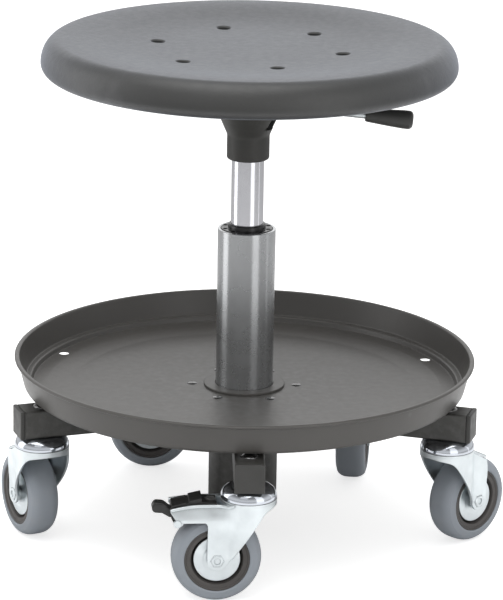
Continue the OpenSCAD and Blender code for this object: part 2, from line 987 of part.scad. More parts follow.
// Outline of one cheek of the brake housing, in X and Z
housing_points = concat(
    [
        [housing_start, rim_z],
        [housing_fall_x, rim_z],
        [housing_x, rim_z - housing_tip_drop],
        [housing_x, housing_top - housing_tip_drop - housing_tip_h],
        [brake_pin_x + brake_lug_r, brake_pin_z],
        [brake_pin_x, housing_z],
    ],
    arc(heel_x + housing_fillet, housing_z - housing_fillet, housing_fillet, housing_fillet, 90, 180, 4),
    [[housing_start, housing_z - housing_fillet]]
);

// Rim rolled outwards along the top edge of the brake housing, in two bands
module rolled_rim() {
    plate_y(cheek_y, cheek_out + rim_out * rim_wide_share, rim_band(rim_h));
    plate_y(cheek_y, cheek_out + rim_out, rim_band(rim_h * rim_high_share));
}

// Outline of a band of height h along the middle of the rim
function rim_band(h) = [
    [housing_start, rim_z + h / 2],
    [housing_fall_x, rim_z + h / 2],
    [housing_x, rim_z - housing_tip_drop + h / 2],
    [housing_x, rim_z - housing_tip_drop - h / 2],
    [housing_fall_x, rim_z - h / 2],
    [housing_start, rim_z - h / 2],
];

// Rocker pedal between the housing's cheeks: tab, knob on a neck, and a shoe over the tyre
module brake_pedal() {
    w = pedal_w / 2;
    k = knob_w / 2;
    neck_r = knob_r * neck_share;
    neck_x = housing_x - neck_l;
    color("#262725")
        at_caster(0)
            difference() {
                union() {
                    plate_y(-w, w, [
                        [pedal_in_x, shoe_z + shoe_lead],
                        [pedal_in_x, pedal_top - pedal_lead],
                        [tab_x, pedal_top],
                        [tab_x, pedal_top + tab_h],
                        [tab_x + tab_l, pedal_top + tab_h - tab_slope],
                        [tab_x + tab_l, pedal_top - tab_foot_drop],
                        [housing_x, pedal_tip_z],
                        [housing_x, pedal_tip_z - pedal_tip_h],
                        [brake_pin_x, brake_pin_z - brake_pin_r],
                        [shoe_x + shoe_l, shoe_z],
                        [shoe_x, shoe_z],
                    ]);
                    plate_y(-k, k, [
                        [neck_x, pedal_tip_z - neck_drop],
                        [housing_x, pedal_tip_z - neck_drop],
                        [knob_x - neck_r, knob_z + neck_r],
                        [knob_x, knob_z],
                        [knob_x - neck_r, knob_z - neck_r],
                        [housing_x, pedal_tip_z - pedal_tip_h],
                        [neck_x, pedal_tip_z - pedal_tip_h],
                    ]);
                    rod_y(knob_x, knob_z, -k, k, knob_r);
                    rod_y(brake_pin_x, brake_pin_z, -w, w, brake_pin_r + pedal_boss);
                }
                rod_y(brake_pin_x, brake_pin_z, -w - over, w + over, brake_pin_r + run_fit);
            }
}

module brake_pin() {
    head = cheek_out + brake_pin_head_h;
    color("#b9bcbe")
        at_caster(0) {
            rod_y(brake_pin_x, brake_pin_z, -head, head, brake_pin_r);
            both_sides()
                rod_y(brake_pin_x, brake_pin_z, cheek_out + seat_gap, head, brake_pin_head_r);
        }
}

module axle(k) {
    head = cheek_out + axle_head_h;
    color("#c9ccce")
        at_caster(k)
            difference() {
                union() {
                    rod_y(trail, axle_z, -cheek_y + seat_gap, cheek_y - seat_gap, axle_r);
                    rod_y(trail, axle_z, -head, head, axle_bolt_r);
                    both_sides()
                        rod_y(trail, axle_z, cheek_out + seat_gap, head, axle_head_r);
                }
                both_sides()
                    rod_y(trail, axle_z, head - axle_hollow_depth, head + over, axle_hollow_r);
            }
}

// Turns a profile in radius and width about the wheel's axle
module wheel_form(k, points) {
    at_caster(k)
        translate([trail, 0, axle_z])
            rotate([90, 0, 0])
                rotate_extrude()
                    polygon(points);
}

// The far half of a wheel's profile: the near half backwards, with its widths turned over
function other_half(points) = [
    for (i = [len(points) - 1:-1:0]) [points[i][0], -points[i][1]]
];

module wheel_core(k) {
    half = [
        [axle_r + run_fit, -disc_out + disc_t],
        [core_hub_r, -disc_out + disc_t],
        [core_hub_r + core_step, -core_web_half],
        [core_well_r - core_step, -core_web_half],
        [core_well_r, -core_well_half],
        [core_rim_r, -core_half],
        [core_r, -core_half],
    ];
    color("#4a4946")
        wheel_form(k, concat(half, other_half(half)));
}

module tyre(k) {
    drop = wheel_d / 2 * tyre_drop_share;
    bond_r = core_r + seat_gap;
    tread = [
        for (i = [-tyre_steps:tyre_steps])
            let (s = sin(90 * i / tyre_steps))
                [wheel_d / 2 - drop * pow(abs(s), tyre_power), s * tyre_half]
    ];
    color("#8b8e94")
        wheel_form(k, concat([[bond_r, core_half], [bond_r, -core_half]], tread));
}

module wheel_discs(k) {
    color("#d6dadb")
        at_caster(k)
            both_sides()
                translate([trail, disc_out, axle_z])
                    rotate([90, 0, 0])
                        ring(disc_t - seat_gap, disc_r, axle_r + slip);
}

hub_tube();
hub_flange();
leg(0);  // leg_front
leg(1);  // leg_right
leg(2);  // leg_back_right
leg(3);  // leg_back_left
leg(4);  // leg_left
leg_caps();
tray();
tray_screws();
column_collar();
column_tube();
guide_bush();
column_base();
caster_bolts();
kingpins();
swivel_domes();
swivel_races();
piston_rod();
rod_clip();
thrust_bearing();
gas_cylinder();
cylinder_gland();
seat_bracket();
seat_plate();
seat_screws();
seat();
lever_pin();
lever_arm();
lever_grip();
release_pin();
fork_front();
plain_fork(1);  // fork_right
plain_fork(2);  // fork_back_right
plain_fork(3);  // fork_back_left
plain_fork(4);  // fork_left
axle(0);  // axle_front
axle(1);  // axle_right
axle(2);  // axle_back_right
axle(3);  // axle_back_left
axle(4);  // axle_left
wheel_core(0);  // wheel_core_front
wheel_core(1);  // wheel_core_right
wheel_core(2);  // wheel_core_back_right
wheel_core(3);  // wheel_core_back_left
wheel_core(4);  // wheel_core_left
tyre(0);  // tyre_front
tyre(1);  // tyre_right
tyre(2);  // tyre_back_right
tyre(3);  // tyre_back_left
tyre(4);  // tyre_left
wheel_discs(0);  // wheel_discs_front
wheel_discs(1);  // wheel_discs_right
wheel_discs(2);  // wheel_discs_back_right
wheel_discs(3);  // wheel_discs_back_left
wheel_discs(4);  // wheel_discs_left
brake_pedal();
brake_pin();
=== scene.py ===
"""Height-adjustable workshop stool: shapes, finishes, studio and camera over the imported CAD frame."""

import math

import bmesh
import bpy
from mathutils import Matrix, Vector
from mathutils.geometry import delaunay_2d_cdt


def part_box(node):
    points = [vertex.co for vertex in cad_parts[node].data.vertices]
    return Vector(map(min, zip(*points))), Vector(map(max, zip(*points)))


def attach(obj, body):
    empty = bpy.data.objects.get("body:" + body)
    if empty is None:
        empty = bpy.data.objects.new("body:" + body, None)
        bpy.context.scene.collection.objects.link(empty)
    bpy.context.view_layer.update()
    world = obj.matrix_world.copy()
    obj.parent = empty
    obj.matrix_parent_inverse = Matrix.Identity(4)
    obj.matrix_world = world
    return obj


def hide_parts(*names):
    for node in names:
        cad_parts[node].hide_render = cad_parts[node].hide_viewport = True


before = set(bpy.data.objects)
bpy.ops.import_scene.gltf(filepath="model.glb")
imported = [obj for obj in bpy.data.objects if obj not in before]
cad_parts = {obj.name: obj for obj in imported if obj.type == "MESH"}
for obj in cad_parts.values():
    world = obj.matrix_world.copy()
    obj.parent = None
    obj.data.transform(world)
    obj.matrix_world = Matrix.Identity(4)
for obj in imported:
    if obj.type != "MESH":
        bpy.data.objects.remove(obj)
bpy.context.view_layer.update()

# Lengths are in millimetres until a mesh is finished
MM = 0.001


def top_of(node):
    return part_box(node)[1].z / MM


def foot_of(node):
    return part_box(node)[0].z / MM


# Legs in order around the hub, and the way that each caster trails
LEGS = ("front", "right", "back_right", "back_left", "left")
FRONT_ANGLE = -88.2
TRAIL_ANGLES = (185.5, 44.5, -96, 0, 117.5)

# Base
LEG_Z = 98.2
LEG_W = 25
LEG_REACH = 205.8
LEG_TOP = LEG_Z + LEG_W
CAP_T = 4
RING_R = 183.5
HUB_R = 30

# Tray
FLOOR_UNDER = 124.7
TRAY_T = 1.8
TRAY_FLOOR = FLOOR_UNDER + TRAY_T
TRAY_STEP = 2.6
TRAY_RISE = 1.6
TRAY_TOP = 154.5
LIP_H = 3
LIP_W = 2.6
WALL_TOP_R = 197.4
WALL_FOOT_R = 191.35
RING_IN_R = 172
RAMP = 9
LEDGE_Z = 132.6
LEDGE_IN_R = 185.3
TRAY_HOLE_R = 4.6
TRAY_HOLE_RING = 177.9
TRAY_HOLE_ANGLES = (24.9, 155.2, 270)
SCREW_RING = 45.5

# Column and gas spring
COLUMN_R = 25
COLUMN_TOP = top_of("column_tube")
BUSH_R = 22.45
BUSH_TOP = top_of("guide_bush")
RELIEF_RING = 19.4
RELIEF_R = 2
GAS_R = 14

# Seat
SEAT_Z = foot_of("seat")
SEAT_R = 177.5
SEAT_H = top_of("seat") - SEAT_Z
SEAT_DISH = 8
DISH_POWER = 3.7
CREST_R = 0.909 * SEAT_R
WIDEST_Z = 0.31 * SEAT_H
LOW_R = 0.943 * SEAT_R
VENT_R = 5.75
VENT_RING = 80.8
VENT_ANGLE = -13.3
BRACKET_Z = foot_of("seat_bracket")
BRACKET_TOP = BRACKET_Z + 71
SOCKET_R = 18.3
CONE_Z = BRACKET_Z + 21.5
BRACKET_R = 40
WINDOW_X = 15.4
WINDOW_HALF = 16
WINDOW_Z = BRACKET_Z + 27.4
WINDOW_TOP = BRACKET_Z + 56.5
SLIT_HALF = 5.7

# Lever
PIVOT = (14, 0, BRACKET_Z + 47.5)
LEVER_SLOPE = 5.3
LEVER_L = 126.9
GRIP_L = 41

# Casters
WHEEL_R = 37.5
TRAIL = 26.5
DOME_R = 23.4
DOME_Z = 88.7
CROWN_TOP = 88.4
CROWN_R = 23.4
CHEEK_LOW = 15.6
CHEEK_HIGH = 17.6
FORK_T = 2.0
SADDLE_TOP = 88.3
SADDLE_FALL = 12.42
NOSE_X = -12.9
NOSE_Z = 81.4
BAND_Z = 84.0
HEEL_X = 34.8
HEEL_R = 3
BOSS_R = 8.3
AXLE_R = 6
TYRE_HALF = 13.7
CORE_R = 27.3

# Brake
HOUSING_X = 65.7
HOUSING_TOP = 86.9
HOUSING_Z = 71.7
FALL_X = 45.9
HOUSING_PINCH = 5.2
PIN_X = 60
PIN_Z = 71.4


# Places

def rotate(degrees, axis="Z"):
    return Matrix.Rotation(math.radians(degrees), 4, axis)


def shift(x, y, z):
    return Matrix.Translation((x, y, z))


def leg_place(k):
    """Frame of leg k, with +X along the leg."""
    return rotate(FRONT_ANGLE + 72 * k)


def caster_place(k):
    """Frame of caster k: swivel axis at x = 0, wheel trailing towards +X."""
    return leg_place(k) @ shift(RING_R, 0, 0) @ rotate(TRAIL_ANGLES[k] - FRONT_ANGLE - 72 * k)


def wheel_place(k):
    """Frame of wheel k, with its axle along Z."""
    return caster_place(k) @ shift(TRAIL, 0, WHEEL_R) @ rotate(90, "X")


def lever_place():
    return shift(*PIVOT) @ rotate(LEVER_SLOPE, "Y")


HERE = Matrix.Identity(4)
FLIP = rotate(180, "X")
SIDEWAYS = Matrix(((1, 0, 0, 0), (0, 0, 1, 0), (0, 1, 0, 0), (0, 0, 0, 1)))
MIRROR_Y = Matrix.Scale(-1, 4, (0, 1, 0))


# Outlines

def arc(cx, cy, rx, ry, a, b, n):
    """Points of an elliptic arc from angle a to b, in degrees."""
    turns = [math.radians(a + (b - a) * i / n) for i in range(n + 1)]
    return [(cx + rx * math.cos(t), cy + ry * math.sin(t)) for t in turns]


def rounded(corners, steps=5, closed=True):
    """An outline whose corners (x, y, radius) are rounded."""
    out = []
    last = len(corners) - 1
    for i, (x, y, radius) in enumerate(corners):
        if radius == 0 or (not closed and i in (0, last)):
            out.append((x, y))
            continue
        point = Vector((x, y))
        back = Vector(corners[i - 1][:2]) - point
        ahead = Vector(corners[(i + 1) % (last + 1)][:2]) - point
        half = back.angle(ahead) / 2
        reach = min(radius / math.tan(half), back.length * 0.49, ahead.length * 0.49)
        true_r = reach * math.tan(half)
        middle = (back.normalized() + ahead.normalized()).normalized()
        centre = point + middle * (true_r / math.sin(half))
        first = point + back.normalized() * reach - centre
        second = point + ahead.normalized() * reach - centre
        a = math.atan2(first.y, first.x)
        sweep = (math.atan2(second.y, second.x) - a + math.pi) % (2 * math.pi) - math.pi
        for j in range(steps + 1):
            t = a + sweep * j / steps
            out.append((centre.x + true_r * math.cos(t), centre.y + true_r * math.sin(t)))
    return out


def circle(x, y, r, n):
    turns = [2 * math.pi * i / n for i in range(n)]
    return [(x + r * math.cos(t), y + r * math.sin(t)) for t in turns]


def on_circle(r, angles):
    """Points around the middle at these angles, in degrees."""
    return [(r * math.cos(math.radians(a)), r * math.sin(math.radians(a))) for a in angles]


# Meshes

def turned(profile, steps=96, closed=True):
    """A form turned about Z from points in radius and height."""
    bm = bmesh.new()
    turns = [2 * math.pi * i / steps for i in range(steps)]
    rings = []
    for r, z in profile:
        if r < 1e-6:
            rings.append([bm.verts.new((0, 0, z))])
        else:
            rings.append([bm.verts.new((r * math.cos(t), r * math.sin(t), z)) for t in turns])
    following = rings[1:] + rings[:1] if closed else rings[1:]
    for a, b in zip(rings, following):
        bridge(bm, a, b)
    return bm


def bridge(bm, a, b):
    """Faces between two rings, either of which may be a single point."""
    n = max(len(a), len(b))
    if n == 1:
        return
    for i in range(n):
        j = (i + 1) % n
        if len(a) == 1:
            bm.faces.new((a[0], b[j], b[i]))
        elif len(b) == 1:
            bm.faces.new((a[i], a[j], b[0]))
        else:
            bm.faces.new((a[i], a[j], b[j], b[i]))


def plate(loops, low, high, edge):
    """A plate across Y with softened edges and outlines in X and Z; loops after the first are holes."""
    curve = bpy.data.curves.new("outline", "CURVE")
    curve.dimensions = "2D"
    curve.fill_mode = "BOTH"
    curve.extrude = (high - low) / 2 - edge
    curve.bevel_depth = edge
    curve.bevel_resolution = 2
    curve.offset = -edge
    for loop in loops:
        spline = curve.splines.new("POLY")
        spline.points.add(len(loop) - 1)
        for point, (x, y) in zip(spline.points, loop):
            point.co = (x, y, 0, 1)
        spline.use_cyclic_u = True
    holder = bpy.data.objects.new("outline", curve)
    bm = bmesh.new()
    bm.from_mesh(holder.to_mesh())
    holder.to_mesh_clear()
    bpy.data.objects.remove(holder)
    bpy.data.curves.remove(curve)
    bmesh.ops.remove_doubles(bm, verts=bm.verts, dist=1e-4)
    bm.transform(SIDEWAYS @ shift(0, 0, (low + high) / 2))
    return bm


def rod(r, low, high, edge, steps=48):
    """A round bar along Z with softened ends."""
    outline = [(0, low, 0), (r, low, edge), (r, high, edge), (0, high, 0)]
    return turned(rounded(outline, 3), steps, False)


def block(size, centre, edge, steps=3):
    """A block with rounded edges."""
    bm = bmesh.new()
    bmesh.ops.create_cube(bm, size=1)
    bm.transform(shift(*centre) @ Matrix.Diagonal((*size, 1)))
    bmesh.ops.bevel(bm, geom=bm.edges[:], offset=edge, segments=steps, profile=0.5, affect="EDGES")
    return bm


def swept(path, sizes, steps=16):
    """A round bar along a path, with a radius for each point and closed ends."""
    points = [Vector(p) for p in path]
    bm = bmesh.new()
    rings = []
    side = Vector((0, 1, 0))
    turns = [2 * math.pi * j / steps for j in range(steps)]
    for i, (point, size) in enumerate(zip(points, sizes)):
        along = (points[min(i + 1, len(points) - 1)] - points[max(i - 1, 0)]).normalized()
        side = (side - along * side.dot(along)).normalized()
        other = along.cross(side)
        ring = [point + side * size * math.cos(t) + other * size * math.sin(t) for t in turns]
        rings.append([bm.verts.new(p) for p in ring])
    for a, b in zip(rings, rings[1:]):
        bridge(bm, a, b)
    bm.faces.new(rings[0])
    bm.faces.new(rings[-1])
    return bm


def pierced(height, inner, outer, holes, spacing, steps):
    """A round sheet z = height(radius) between two radii, with round holes (x, y, radius)."""
    points = []
    edges = []

    def loop(x, y, r, n):
        first = len(points)
        points.extend(Vector(p) for p in circle(x, y, r, n))
        edges.extend((first + i, first + (i + 1) % n) for i in range(n))

    loop(0, 0, outer, steps)
    if inner > 0:
        loop(0, 0, inner, steps)
    for x, y, r in holes:
        loop(x, y, r, 48)
        for grow in (0.6, 1.5, 3):
            around = [Vector(p) for p in circle(x, y, r + grow, 48)]
            points.extend(p for p in around if inner + 0.4 < p.length < outer - 0.4)
    rows = int((outer - inner) / spacing)
    for row in range(0 if inner == 0 else 1, rows):
        r = inner + (outer - inner) * row / rows
        count = steps if r > outer * 0.4 else max(6, int(steps * r / (outer * 0.4)))
        for p in circle(0, 0, r, count) if r > 0 else [(0, 0)]:
            if all(math.hypot(p[0] - x, p[1] - y) > hole + 4 for x, y, hole in holes):
                points.append(Vector(p))
    found = delaunay_2d_cdt(points, edges, [], 0, 1e-5)
    bm = bmesh.new()
    verts = [bm.verts.new((p.x, p.y, height(p.length))) for p in found[0]]
    for face in found[2]:
        centre = sum((found[0][i] for i in face), Vector((0, 0))) / len(face)
        if inner > 0 and centre.length < inner * math.cos(math.pi / steps) - 1e-3:
            continue
        if any((centre - Vector((x, y))).length < r for x, y, r in holes):
            continue
        bm.faces.new([verts[i] for i in face])
    return bm


def gather(parts):
    """One mesh of several, each given as (mesh, place)."""
    whole = bmesh.new()
    for bm, place in parts:
        bm.transform(place)
        if place.determinant() < 0:
            bmesh.ops.reverse_faces(bm, faces=bm.faces)
        scratch = bpy.data.meshes.new("scratch")
        bm.to_mesh(scratch)
        bm.free()
        whole.from_mesh(scratch)
        bpy.data.meshes.remove(scratch)
    return whole


def placed(parts, place):
    """The same parts, carried to a place."""
    return [(bm, place @ within) for bm, within in parts]


def both_sides(bm):
    """A part of a fork and its mirror image on the other cheek."""
    return [(bm, HERE), (bm.copy(), MIRROR_Y)]


def piece(name, parts, finish, body, nodes, sharp=38, weld=False):
    """One visible object that rides on a body and stands for CAD nodes."""
    whole = gather(parts)
    if weld:
        bmesh.ops.remove_doubles(whole, verts=whole.verts, dist=1e-3)
    bmesh.ops.recalc_face_normals(whole, faces=whole.faces)
    whole.transform(Matrix.Scale(MM, 4))
    mesh = bpy.data.meshes.new(name)
    whole.to_mesh(mesh)
    whole.free()
    mesh.shade_smooth()
    mesh.set_sharp_from_angle(angle=math.radians(sharp))
    mesh.materials.append(finish)
    made = bpy.data.objects.new(name, mesh)
    bpy.context.scene.collection.objects.link(made)
    even = made.modifiers.new("even_normals", "WEIGHTED_NORMAL")
    even.keep_sharp = True
    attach(made, body)
    if nodes:
        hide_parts(*nodes)
    return made


# Finishes

class Tree:
    """Nodes of a material or a world, made one by one."""

    def __init__(self, tree):
        self.nodes, self.links = tree.nodes, tree.links

    def give(self, socket, value):
        """Gives an input a number, a colour or the output of another node."""
        if isinstance(value, bpy.types.NodeSocket):
            self.links.new(value, socket)
        else:
            socket.default_value = value

    def node(self, kind, *values, **named):
        """A node whose inputs are given in their order or by name."""
        made = self.nodes.new(kind)
        for socket, value in zip(made.inputs, values):
            self.give(socket, value)
        for name, value in named.items():
            self.give(made.inputs[name], value)
        return made

    def math(self, kind, a, b):
        made = self.node("ShaderNodeMath", a, b)
        made.operation = kind
        return made.outputs[0]

    def spread(self, value, low, high, from_low=0.3, from_high=0.7):
        """Carries a value from one span to another."""
        return self.node("ShaderNodeMapRange", value, from_low, from_high, low, high).outputs["Result"]


class Finish(Tree):
    """A material that is built up step by step."""

    def __init__(self, name, metallic=0.0, specular=0.5):
        self.material = bpy.data.materials.new(name)
        self.material.use_nodes = True
        super().__init__(self.material.node_tree)
        self.shader = self.nodes["Principled BSDF"]
        self.surface("Metallic", metallic)
        self.surface("Specular IOR Level", specular)
        self.coords = self.node("ShaderNodeTexCoord").outputs["Object"]
        self.bump = None

    def surface(self, name, value):
        self.give(self.shader.inputs[name], value)

    def noise(self, scale, detail=3, stretch=(1, 1, 1), turn=0):
        """Noise with features of about 1 / scale metres."""
        place = self.node("ShaderNodeMapping", Scale=stretch, Rotation=(0, 0, turn), Vector=self.coords)
        made = self.node("ShaderNodeTexNoise", Scale=scale, Detail=detail, Vector=place.outputs["Vector"])
        return made.outputs["Fac"]

    def cells(self, scale):
        made = self.node("ShaderNodeTexVoronoi", Scale=scale, Vector=self.coords)
        made.feature = "SMOOTH_F1"
        return made.outputs["Distance"]

    def blend(self, value, dark, light):
        """A colour from dark to light."""
        made = self.node("ShaderNodeValToRGB", value)
        for mark, place, colour in zip(made.color_ramp.elements, (0.3, 0.7), (dark, light)):
            mark.position = place
            mark.color = (*colour, 1)
        return made.outputs["Color"]

    def mix(self, share, under, over):
        """The colour under shows where share is 0 and over where it is 1; sockets 6 and 7 are colours."""
        made = self.node("ShaderNodeMix", share)
        made.data_type = "RGBA"
        self.give(made.inputs[6], under)
        self.give(made.inputs[7], (*over, 1))
        return made.outputs[2]

    def edges(self):
        """1 on outer edges, 0 elsewhere."""
        return self.spread(self.node("ShaderNodeNewGeometry").outputs["Pointiness"], 0, 1, 0.52, 0.60)

    def painted_crease_shade(self, reach):
        """Painted shade mask: 1 in narrow gaps and in every crease, where shade falls, 0 on open surfaces.
        """
        made = self.node("ShaderNodeAmbientOcclusion", Distance=reach)
        made.samples = 6
        return self.spread(made.outputs["AO"], 1, 0, 0.25, 0.85)

    def rounding(self, radius):
        """Softens the mesh's edges as they are lit."""
        made = self.node("ShaderNodeBevel", radius)
        made.samples = 4
        self.bump = made.outputs["Normal"]

    def relief(self, value, depth, strength=1.0):
        """Adds height to the surface; depth is in metres."""
        made = self.node("ShaderNodeBump", Strength=strength, Distance=depth, Height=value)
        if self.bump:
            self.give(made.inputs["Normal"], self.bump)
        self.bump = made.outputs["Normal"]

    def done(self):
        if self.bump:
            self.surface("Normal", self.bump)
        return self.material


def powder_coat(name, dark, light, gloss, worn=(0.10, 0.10, 0.095)):
    """Satin powder coat with orange peel, faint patches and rubbed edges."""
    f = Finish(name)
    f.rounding(0.0006)
    base = f.blend(f.noise(14, 5), dark, light)
    rubbed = f.math("MULTIPLY", f.edges(), f.spread(f.noise(160), 0, 0.5, 0.45, 0.7))
    f.surface("Base Color", f.mix(rubbed, base, worn))
    f.surface("Roughness", f.spread(f.noise(150, 4), gloss - 0.02, gloss + 0.03))
    f.relief(f.noise(1200, 2), 0.00003)
    return f.done()


def plastic(name, dark, light, gloss, grain=1400, depth=0.00004, specular=0.5):
    """Moulded plastic with a fine grain."""
    f = Finish(name, specular=specular)
    f.rounding(0.0005)
    f.surface("Base Color", f.blend(f.noise(45, 4), dark, light))
    f.surface("Roughness", f.spread(f.noise(120), gloss - 0.06, gloss + 0.1))
    f.relief(f.noise(grain, 2), depth)
    return f.done()


def skin(name):
    """Fine-grained polyurethane skin with faint scuffs."""
    f = Finish(name, specular=0.75)
    f.surface("Sheen Weight", 0.42)
    f.surface("Sheen Roughness", 0.45)
    f.surface("Sheen Tint", (0.80, 0.86, 1, 1))
    tone = f.blend(f.noise(9, 5), (0.029, 0.029, 0.027), (0.033, 0.033, 0.031))
    scuffs = f.spread(f.noise(26, 7, (1, 2.2, 1), 0.4), 0, 0.16, 0.60, 0.74)
    f.surface("Base Color", f.mix(scuffs, tone, (0.14, 0.14, 0.15)))
    f.surface("Roughness", f.spread(f.noise(180, 4), 0.42, 0.52))
    f.relief(f.cells(620), 0.00012, 0.6)
    f.relief(f.noise(2400, 2), 0.00005, 0.8)
    return f.done()


def bright_metal(name, tone, gloss, smear=0.05, lines=0, ground=0):
    """Polished or plated metal with faint smears and, if given, lines ground around it."""
    f = Finish(name, metallic=1.0)
    if ground:
        around = f.node("ShaderNodeTangent")
        around.direction_type = "RADIAL"
        around.axis = "Z"
        f.surface("Anisotropic", ground)
        f.surface("Anisotropic Rotation", 0.25)
        f.surface("Tangent", around.outputs["Tangent"])
    f.surface("Base Color", f.blend(f.noise(35, 4), tuple(c * 0.93 for c in tone), tone))
    f.surface("Roughness", f.spread(f.noise(50, 5), gloss, gloss + smear))
    if lines:
        f.relief(f.noise(lines, 2, (0.02, 0.02, 1)), 0.00002, 0.5)
    else:
        f.relief(f.noise(300), 0.000015, 0.4)
    return f.done()


def zinc_plate(name):
    """Pale zinc plating, matt with a slight blue cast, and painted shade that darkens every gap and crease.
    """
    tone = (0.77, 0.82, 0.84)
    f = Finish(name, metallic=1.0)
    f.rounding(0.0007)
    plated = f.blend(f.noise(55, 5), tuple(c * 0.88 for c in tone), tone)
    # Painted shade: the plating falls to a third of its tone in every gap and crease
    f.surface("Base Color", f.mix(f.painted_crease_shade(0.004), plated, tuple(c * 0.35 for c in tone)))
    f.surface("Roughness", f.spread(f.noise(140, 4), 0.34, 0.50))
    f.relief(f.noise(700), 0.00003)
    return f.done()


def rubber(name):
    """Grey thermoplastic tread, slightly dusty."""
    f = Finish(name, specular=0.4)
    tone = f.blend(f.noise(30, 4), (0.33, 0.36, 0.40), (0.36, 0.39, 0.43))
    dust = f.spread(f.noise(90, 5), 0, 0.22, 0.55, 0.75)
    f.surface("Base Color", f.mix(dust, tone, (0.42, 0.42, 0.42)))
    f.surface("Roughness", f.spread(f.noise(110, 4), 0.48, 0.66))
    f.relief(f.noise(1500, 2), 0.00004)
    return f.done()


FRAME = powder_coat("frame_black", (0.050, 0.049, 0.045), (0.053, 0.052, 0.048), 0.40)
TRAY = powder_coat("tray_grey", (0.082, 0.078, 0.073), (0.091, 0.087, 0.081), 0.36, (0.16, 0.16, 0.155))
BRACKET = powder_coat("bracket_black", (0.043, 0.042, 0.038), (0.048, 0.047, 0.043), 0.5)
CAP = plastic("cap_plastic", (0.040, 0.040, 0.038), (0.052, 0.051, 0.048), 0.46)
BLACK = plastic("black_plastic", (0.014, 0.014, 0.014), (0.022, 0.022, 0.021), 0.34)
BUSH = plastic("bush_plastic", (0.020, 0.020, 0.022), (0.028, 0.028, 0.030), 0.20)
# Painted shade: near-black, barely reflecting finish for the walls that stand for the shade inside the
# lever's window
SHADE = plastic("window_painted_shade", (0.004, 0.004, 0.004), (0.008, 0.008, 0.008), 0.85, specular=0.1)
GRIP = plastic("grip_plastic", (0.060, 0.060, 0.058), (0.074, 0.074, 0.071), 0.48, 900, 0.00008)
SKIN = skin("seat_skin")
COLUMN = bright_metal("column_steel", (0.49, 0.50, 0.51), 0.25, lines=900, ground=0.8)
CHROME = bright_metal("chrome", (0.60, 0.63, 0.68), 0.08, 0.06)
GROUND_CHROME = bright_metal("ground_chrome", (0.82, 0.82, 0.86), 0.15, lines=1500, ground=0.5)
BOLT = bright_metal("dark_bolt", (0.22, 0.22, 0.22), 0.2, 0.08)
STEEL = bright_metal("steel", (0.52, 0.52, 0.52), 0.28, 0.12)
ZINC = zinc_plate("zinc")
TYRE = rubber("tyre_grey")
CORE = plastic("core_plastic", (0.070, 0.064, 0.060), (0.090, 0.082, 0.078), 0.45)

FINISHES = (FRAME, TRAY, CAP, BLACK, SKIN, COLUMN, CHROME, ZINC, STEEL, TYRE, CORE)
SLOT_FINISH = {finish.name.split(".")[0]: finish for finish in FINISHES}
for name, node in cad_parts.items():
    for holder in node.material_slots:
        holder.material = SLOT_FINISH[holder.material.name.split(".")[0]]
        if name == "piston_rod":
            holder.material = GROUND_CHROME


# Seat

def dish(r):
    """Height of the seat's top at a radius inside its crest."""
    s = min(r / CREST_R, 1)
    smooth = s * s * (3 - 2 * s)
    return SEAT_H - SEAT_DISH + SEAT_DISH * smooth ** DISH_POWER


def vent_wall(x, y, lead):
    """Wall of a vent, rounded over at the seat's top."""
    wall = bmesh.new()
    loops = []
    for i in range(6):
        t = math.radians(90 * i / 5)
        drop = lead * math.cos(t) - lead
        ring = circle(x, y, VENT_R + lead - lead * math.sin(t), 48)
        loops.append([wall.verts.new((px, py, dish(math.hypot(px, py)) + drop)) for px, py in ring])
    loops.append([wall.verts.new((px, py, 0)) for px, py in circle(x, y, VENT_R, 48)])
    for a, b in zip(loops, loops[1:]):
        bridge(wall, a, b)
    return wall


def make_seat():
    """Dished cushion with a rounded rim and six vents."""
    outer = 112
    lead = 1.6
    steps = 192
    spots = on_circle(VENT_RING, [VENT_ANGLE + 60 * i for i in range(6)])
    top = pierced(dish, 0, outer, [(x, y, VENT_R + lead) for x, y in spots], 4, steps)
    under = pierced(lambda r: 0, 0, outer, [(x, y, VENT_R) for x, y in spots], 8, steps)
    flank = [(r, dish(r)) for r in (outer + (CREST_R - outer) * i / 16 for i in range(16))]
    rim = arc(CREST_R, WIDEST_Z, SEAT_R - CREST_R, SEAT_H - WIDEST_Z, 90, 0, 20)
    low = arc(LOW_R, WIDEST_Z, SEAT_R - LOW_R, WIDEST_Z, 0, -90, 12)[1:]
    body = turned(flank + rim + low + [(140, 0), (outer, 0)], steps, False)
    walls = [vent_wall(x, y, lead) for x, y in spots]
    parts = [(bm, shift(0, 0, SEAT_Z)) for bm in [top, under, body] + walls]
    seat = piece("seat_pad", parts, SKIN, "seat_top", ["seat"], 60, True)


